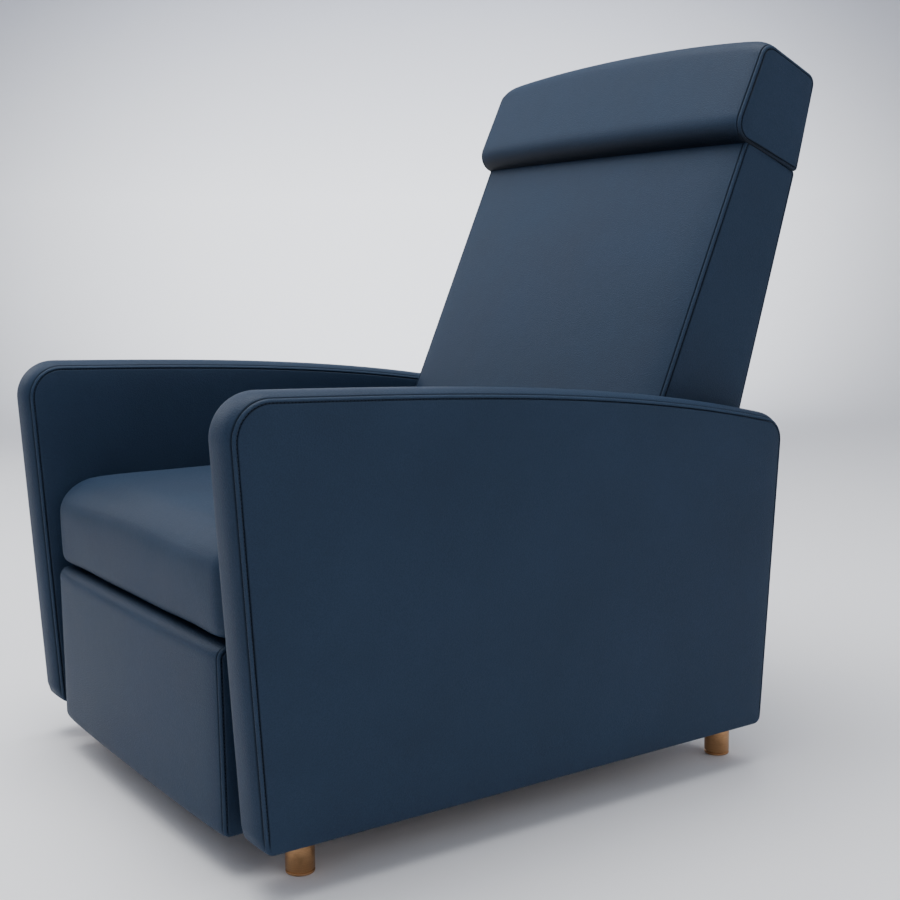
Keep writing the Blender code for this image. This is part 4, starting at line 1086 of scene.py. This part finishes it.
def turned(name, profile, centre, material, sides=72):
    """A round solid from its outline's (radius, height) points; both ends are on its axis."""
    solid = revolved(profile[1:-1], sides)
    top = len(solid)
    faces = grid_faces(top // sides, sides, wrap_columns=True) + fan(0, sides, top)
    faces += fan(top - sides, sides, top + 1, flip=True)
    solid = np.vstack([solid, [[0, 0, profile[0][1]]], [[0, 0, profile[-1][1]]]]) + centre
    obj = mesh_piece(name, solid, faces, material)
    obj.data.set_sharp_from_angle(angle=math.radians(50))
    return obj


def bevelled_box(name, low, high, edge, material):
    mesh = bpy.data.meshes.new(name)
    shape = bmesh.new()
    bmesh.ops.create_cube(shape, size=1.0)
    bmesh.ops.scale(shape, vec=Vector(high) - Vector(low), verts=shape.verts)
    bmesh.ops.translate(shape, vec=(Vector(high) + Vector(low)) / 2, verts=shape.verts)
    bmesh.ops.bevel(shape, geom=shape.edges[:], offset=edge, segments=2, affect="EDGES")
    shape.to_mesh(mesh)
    shape.free()
    obj = bpy.data.objects.new(name, mesh)
    bpy.context.scene.collection.objects.link(obj)
    mesh.materials.append(material)
    return obj


def paint_cad():
    """The CAD nodes that stay get finished materials in place of their plain ones."""
    finishes = {"plywood": PLYWOOD, "zinc_steel": ZINC, "black_steel": COAT, "bronze": BRONZE,
                "nylon": NYLON, "dust_cloth": DUST_CLOTH, "upholstery": LEATHER}
    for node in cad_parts.values():
        for place in node.material_slots:
            name = place.material.name.split(".")[0] if place.material else "black_steel"
            place.material = finishes.get(name, COAT)


# ---------------------------------------------------------------- studio
FLOOR_RADIUS, FLOOR_RINGS = 5.02, 11
SWEEP_RADIUS = 2.4       # of the curve between floor and wall
SWEEP_STEPS = 24
WALL_STEP, WALL_STEPS = 0.6, 4
FLOOR_SIDES = 128
FLOOR_DARK, FLOOR_LIGHT = (0.875, 0.880, 0.905), (0.905, 0.908, 0.925)
WALL_SHADE_COLOUR = (0.470, 0.485, 0.545)
WALL_SHADE_HEIGHTS = (1.2, 2.7)   # heights between which the wall darkens, a painted shade


def make_floor():
    """A round studio sweep: a pale floor that curves up all round into a wall painted darker
    towards its top, a painted shade.
    """
    profile = [(0.02 + 0.5 * k, 0.0) for k in range(FLOOR_RINGS)]
    profile += [(FLOOR_RADIUS + SWEEP_RADIUS * math.sin(t), SWEEP_RADIUS * (1 - math.cos(t)))
                for t in np.linspace(0.0, math.pi / 2, SWEEP_STEPS)[1:]]
    profile += [(FLOOR_RADIUS + SWEEP_RADIUS, SWEEP_RADIUS + WALL_STEP * k)
                for k in range(1, WALL_STEPS + 1)]
    faces = grid_faces(len(profile), FLOOR_SIDES, wrap_columns=True)
    faces.append(list(range(FLOOR_SIDES)))
    material, tree, shader = new_material("studio_floor")
    point = object_point(tree)
    pale = mix_colour(tree, noise(tree, point, 0.35, 3.0, 0.5), FLOOR_DARK, FLOOR_LIGHT)
    split = tree.nodes.new("ShaderNodeSeparateXYZ")
    link(tree, point, split.inputs[0])
    # painted shade: the wall is darkened towards its top
    height = remap(tree, split.outputs["Z"], *WALL_SHADE_HEIGHTS)
    link(tree, mix_colour(tree, height, pale, WALL_SHADE_COLOUR), shader.inputs["Base Color"])
    feed(tree, shader, Roughness=0.75, Specular_IOR_Level=0.25)
    mesh_piece("studio_sweep", revolved(profile, FLOOR_SIDES), faces, material)


WORLD_COLOUR, WORLD_STRENGTH = (0.86, 0.90, 1.0), 0.47
# name, place, target, size, watts
SOFT_LIGHTS = (
    ("key", (-3.5, -1.6, 2.7), (0.0, -0.1, 0.5), 2.4, 60.0),
    ("top", (-0.4, -0.2, 3.8), (-0.2, 0.0, 0.4), 3.0, 188.0),
    ("fill", (3.6, -0.4, 3.0), (0.3, 0.0, 0.7), 1.8, 12.0),
    ("rim", (4.6, 3.2, 2.4), (0.3, 0.0, 0.7), 2.4, 34.0))
WALL_SPOT, WALL_SPOT_TARGET = (-1.6, 1.3, 3.2), (-5.6, 3.7, 1.0)
WALL_SPOT_WATTS, WALL_SPOT_COLOUR = 2050.0, (0.95, 0.97, 1.0)
WALL_SPOT_ANGLE, WALL_SPOT_SOFTNESS = math.radians(76.0), 0.6


def place_light(data, place, target):
    obj = bpy.data.objects.new(data.name, data)
    obj.location = place
    obj.rotation_euler = (Vector(target) - Vector(place)).to_track_quat("-Z", "Y").to_euler()
    bpy.context.scene.collection.objects.link(obj)


def make_lights():
    world = bpy.data.worlds.new("studio")
    bpy.context.scene.world = world
    world.use_nodes = True
    tree = world.node_tree
    feed(tree, tree.nodes["Background"], Color=WORLD_COLOUR, Strength=WORLD_STRENGTH)
    for name, place, target, size, watts in SOFT_LIGHTS:
        data = bpy.data.lights.new(name, "AREA")
        data.shape = "RECTANGLE"
        data.size = data.size_y = size
        data.energy = watts
        place_light(data, place, target)
    wall = bpy.data.lights.new("wall", "SPOT")
    wall.energy, wall.color = WALL_SPOT_WATTS, WALL_SPOT_COLOUR
    wall.spot_size, wall.spot_blend = WALL_SPOT_ANGLE, 1.0
    wall.shadow_soft_size = WALL_SPOT_SOFTNESS
    place_light(wall, WALL_SPOT, WALL_SPOT_TARGET)


CAMERA_PLACE = Vector((1.7827, -1.1527, 0.7389))
CAMERA_AZIMUTH, CAMERA_DIP, CAMERA_ROLL = (math.radians(a) for a in (55.998, 7.504, -0.778))
CAMERA_LENS = 55.1


def make_camera():
    level = math.cos(CAMERA_DIP)
    forward = Vector((-math.sin(CAMERA_AZIMUTH) * level, math.cos(CAMERA_AZIMUTH) * level,
                      -math.sin(CAMERA_DIP)))
    right = forward.cross(Vector((0.0, 0.0, 1.0))).normalized()
    up = right.cross(forward)
    tilted_right = right * math.cos(CAMERA_ROLL) + up * math.sin(CAMERA_ROLL)
    tilted_up = up * math.cos(CAMERA_ROLL) - right * math.sin(CAMERA_ROLL)
    data = bpy.data.cameras.new("photo_view")
    data.lens = CAMERA_LENS
    data.sensor_width = 36.0
    data.clip_end = 50.0
    obj = bpy.data.objects.new("photo_view", data)
    turn = Matrix((tilted_right, tilted_up, -forward)).transposed().to_4x4()
    obj.matrix_world = Matrix.Translation(CAMERA_PLACE) @ turn
    bpy.context.scene.collection.objects.link(obj)
    bpy.context.scene.camera = obj


paint_cad()
make_arms()
make_back()
make_headrest()
make_seat()
make_footrest()
make_apron()
make_flap()
make_dust_cover()
make_webbing()
make_feet()
make_floor()
make_lights()
make_camera()
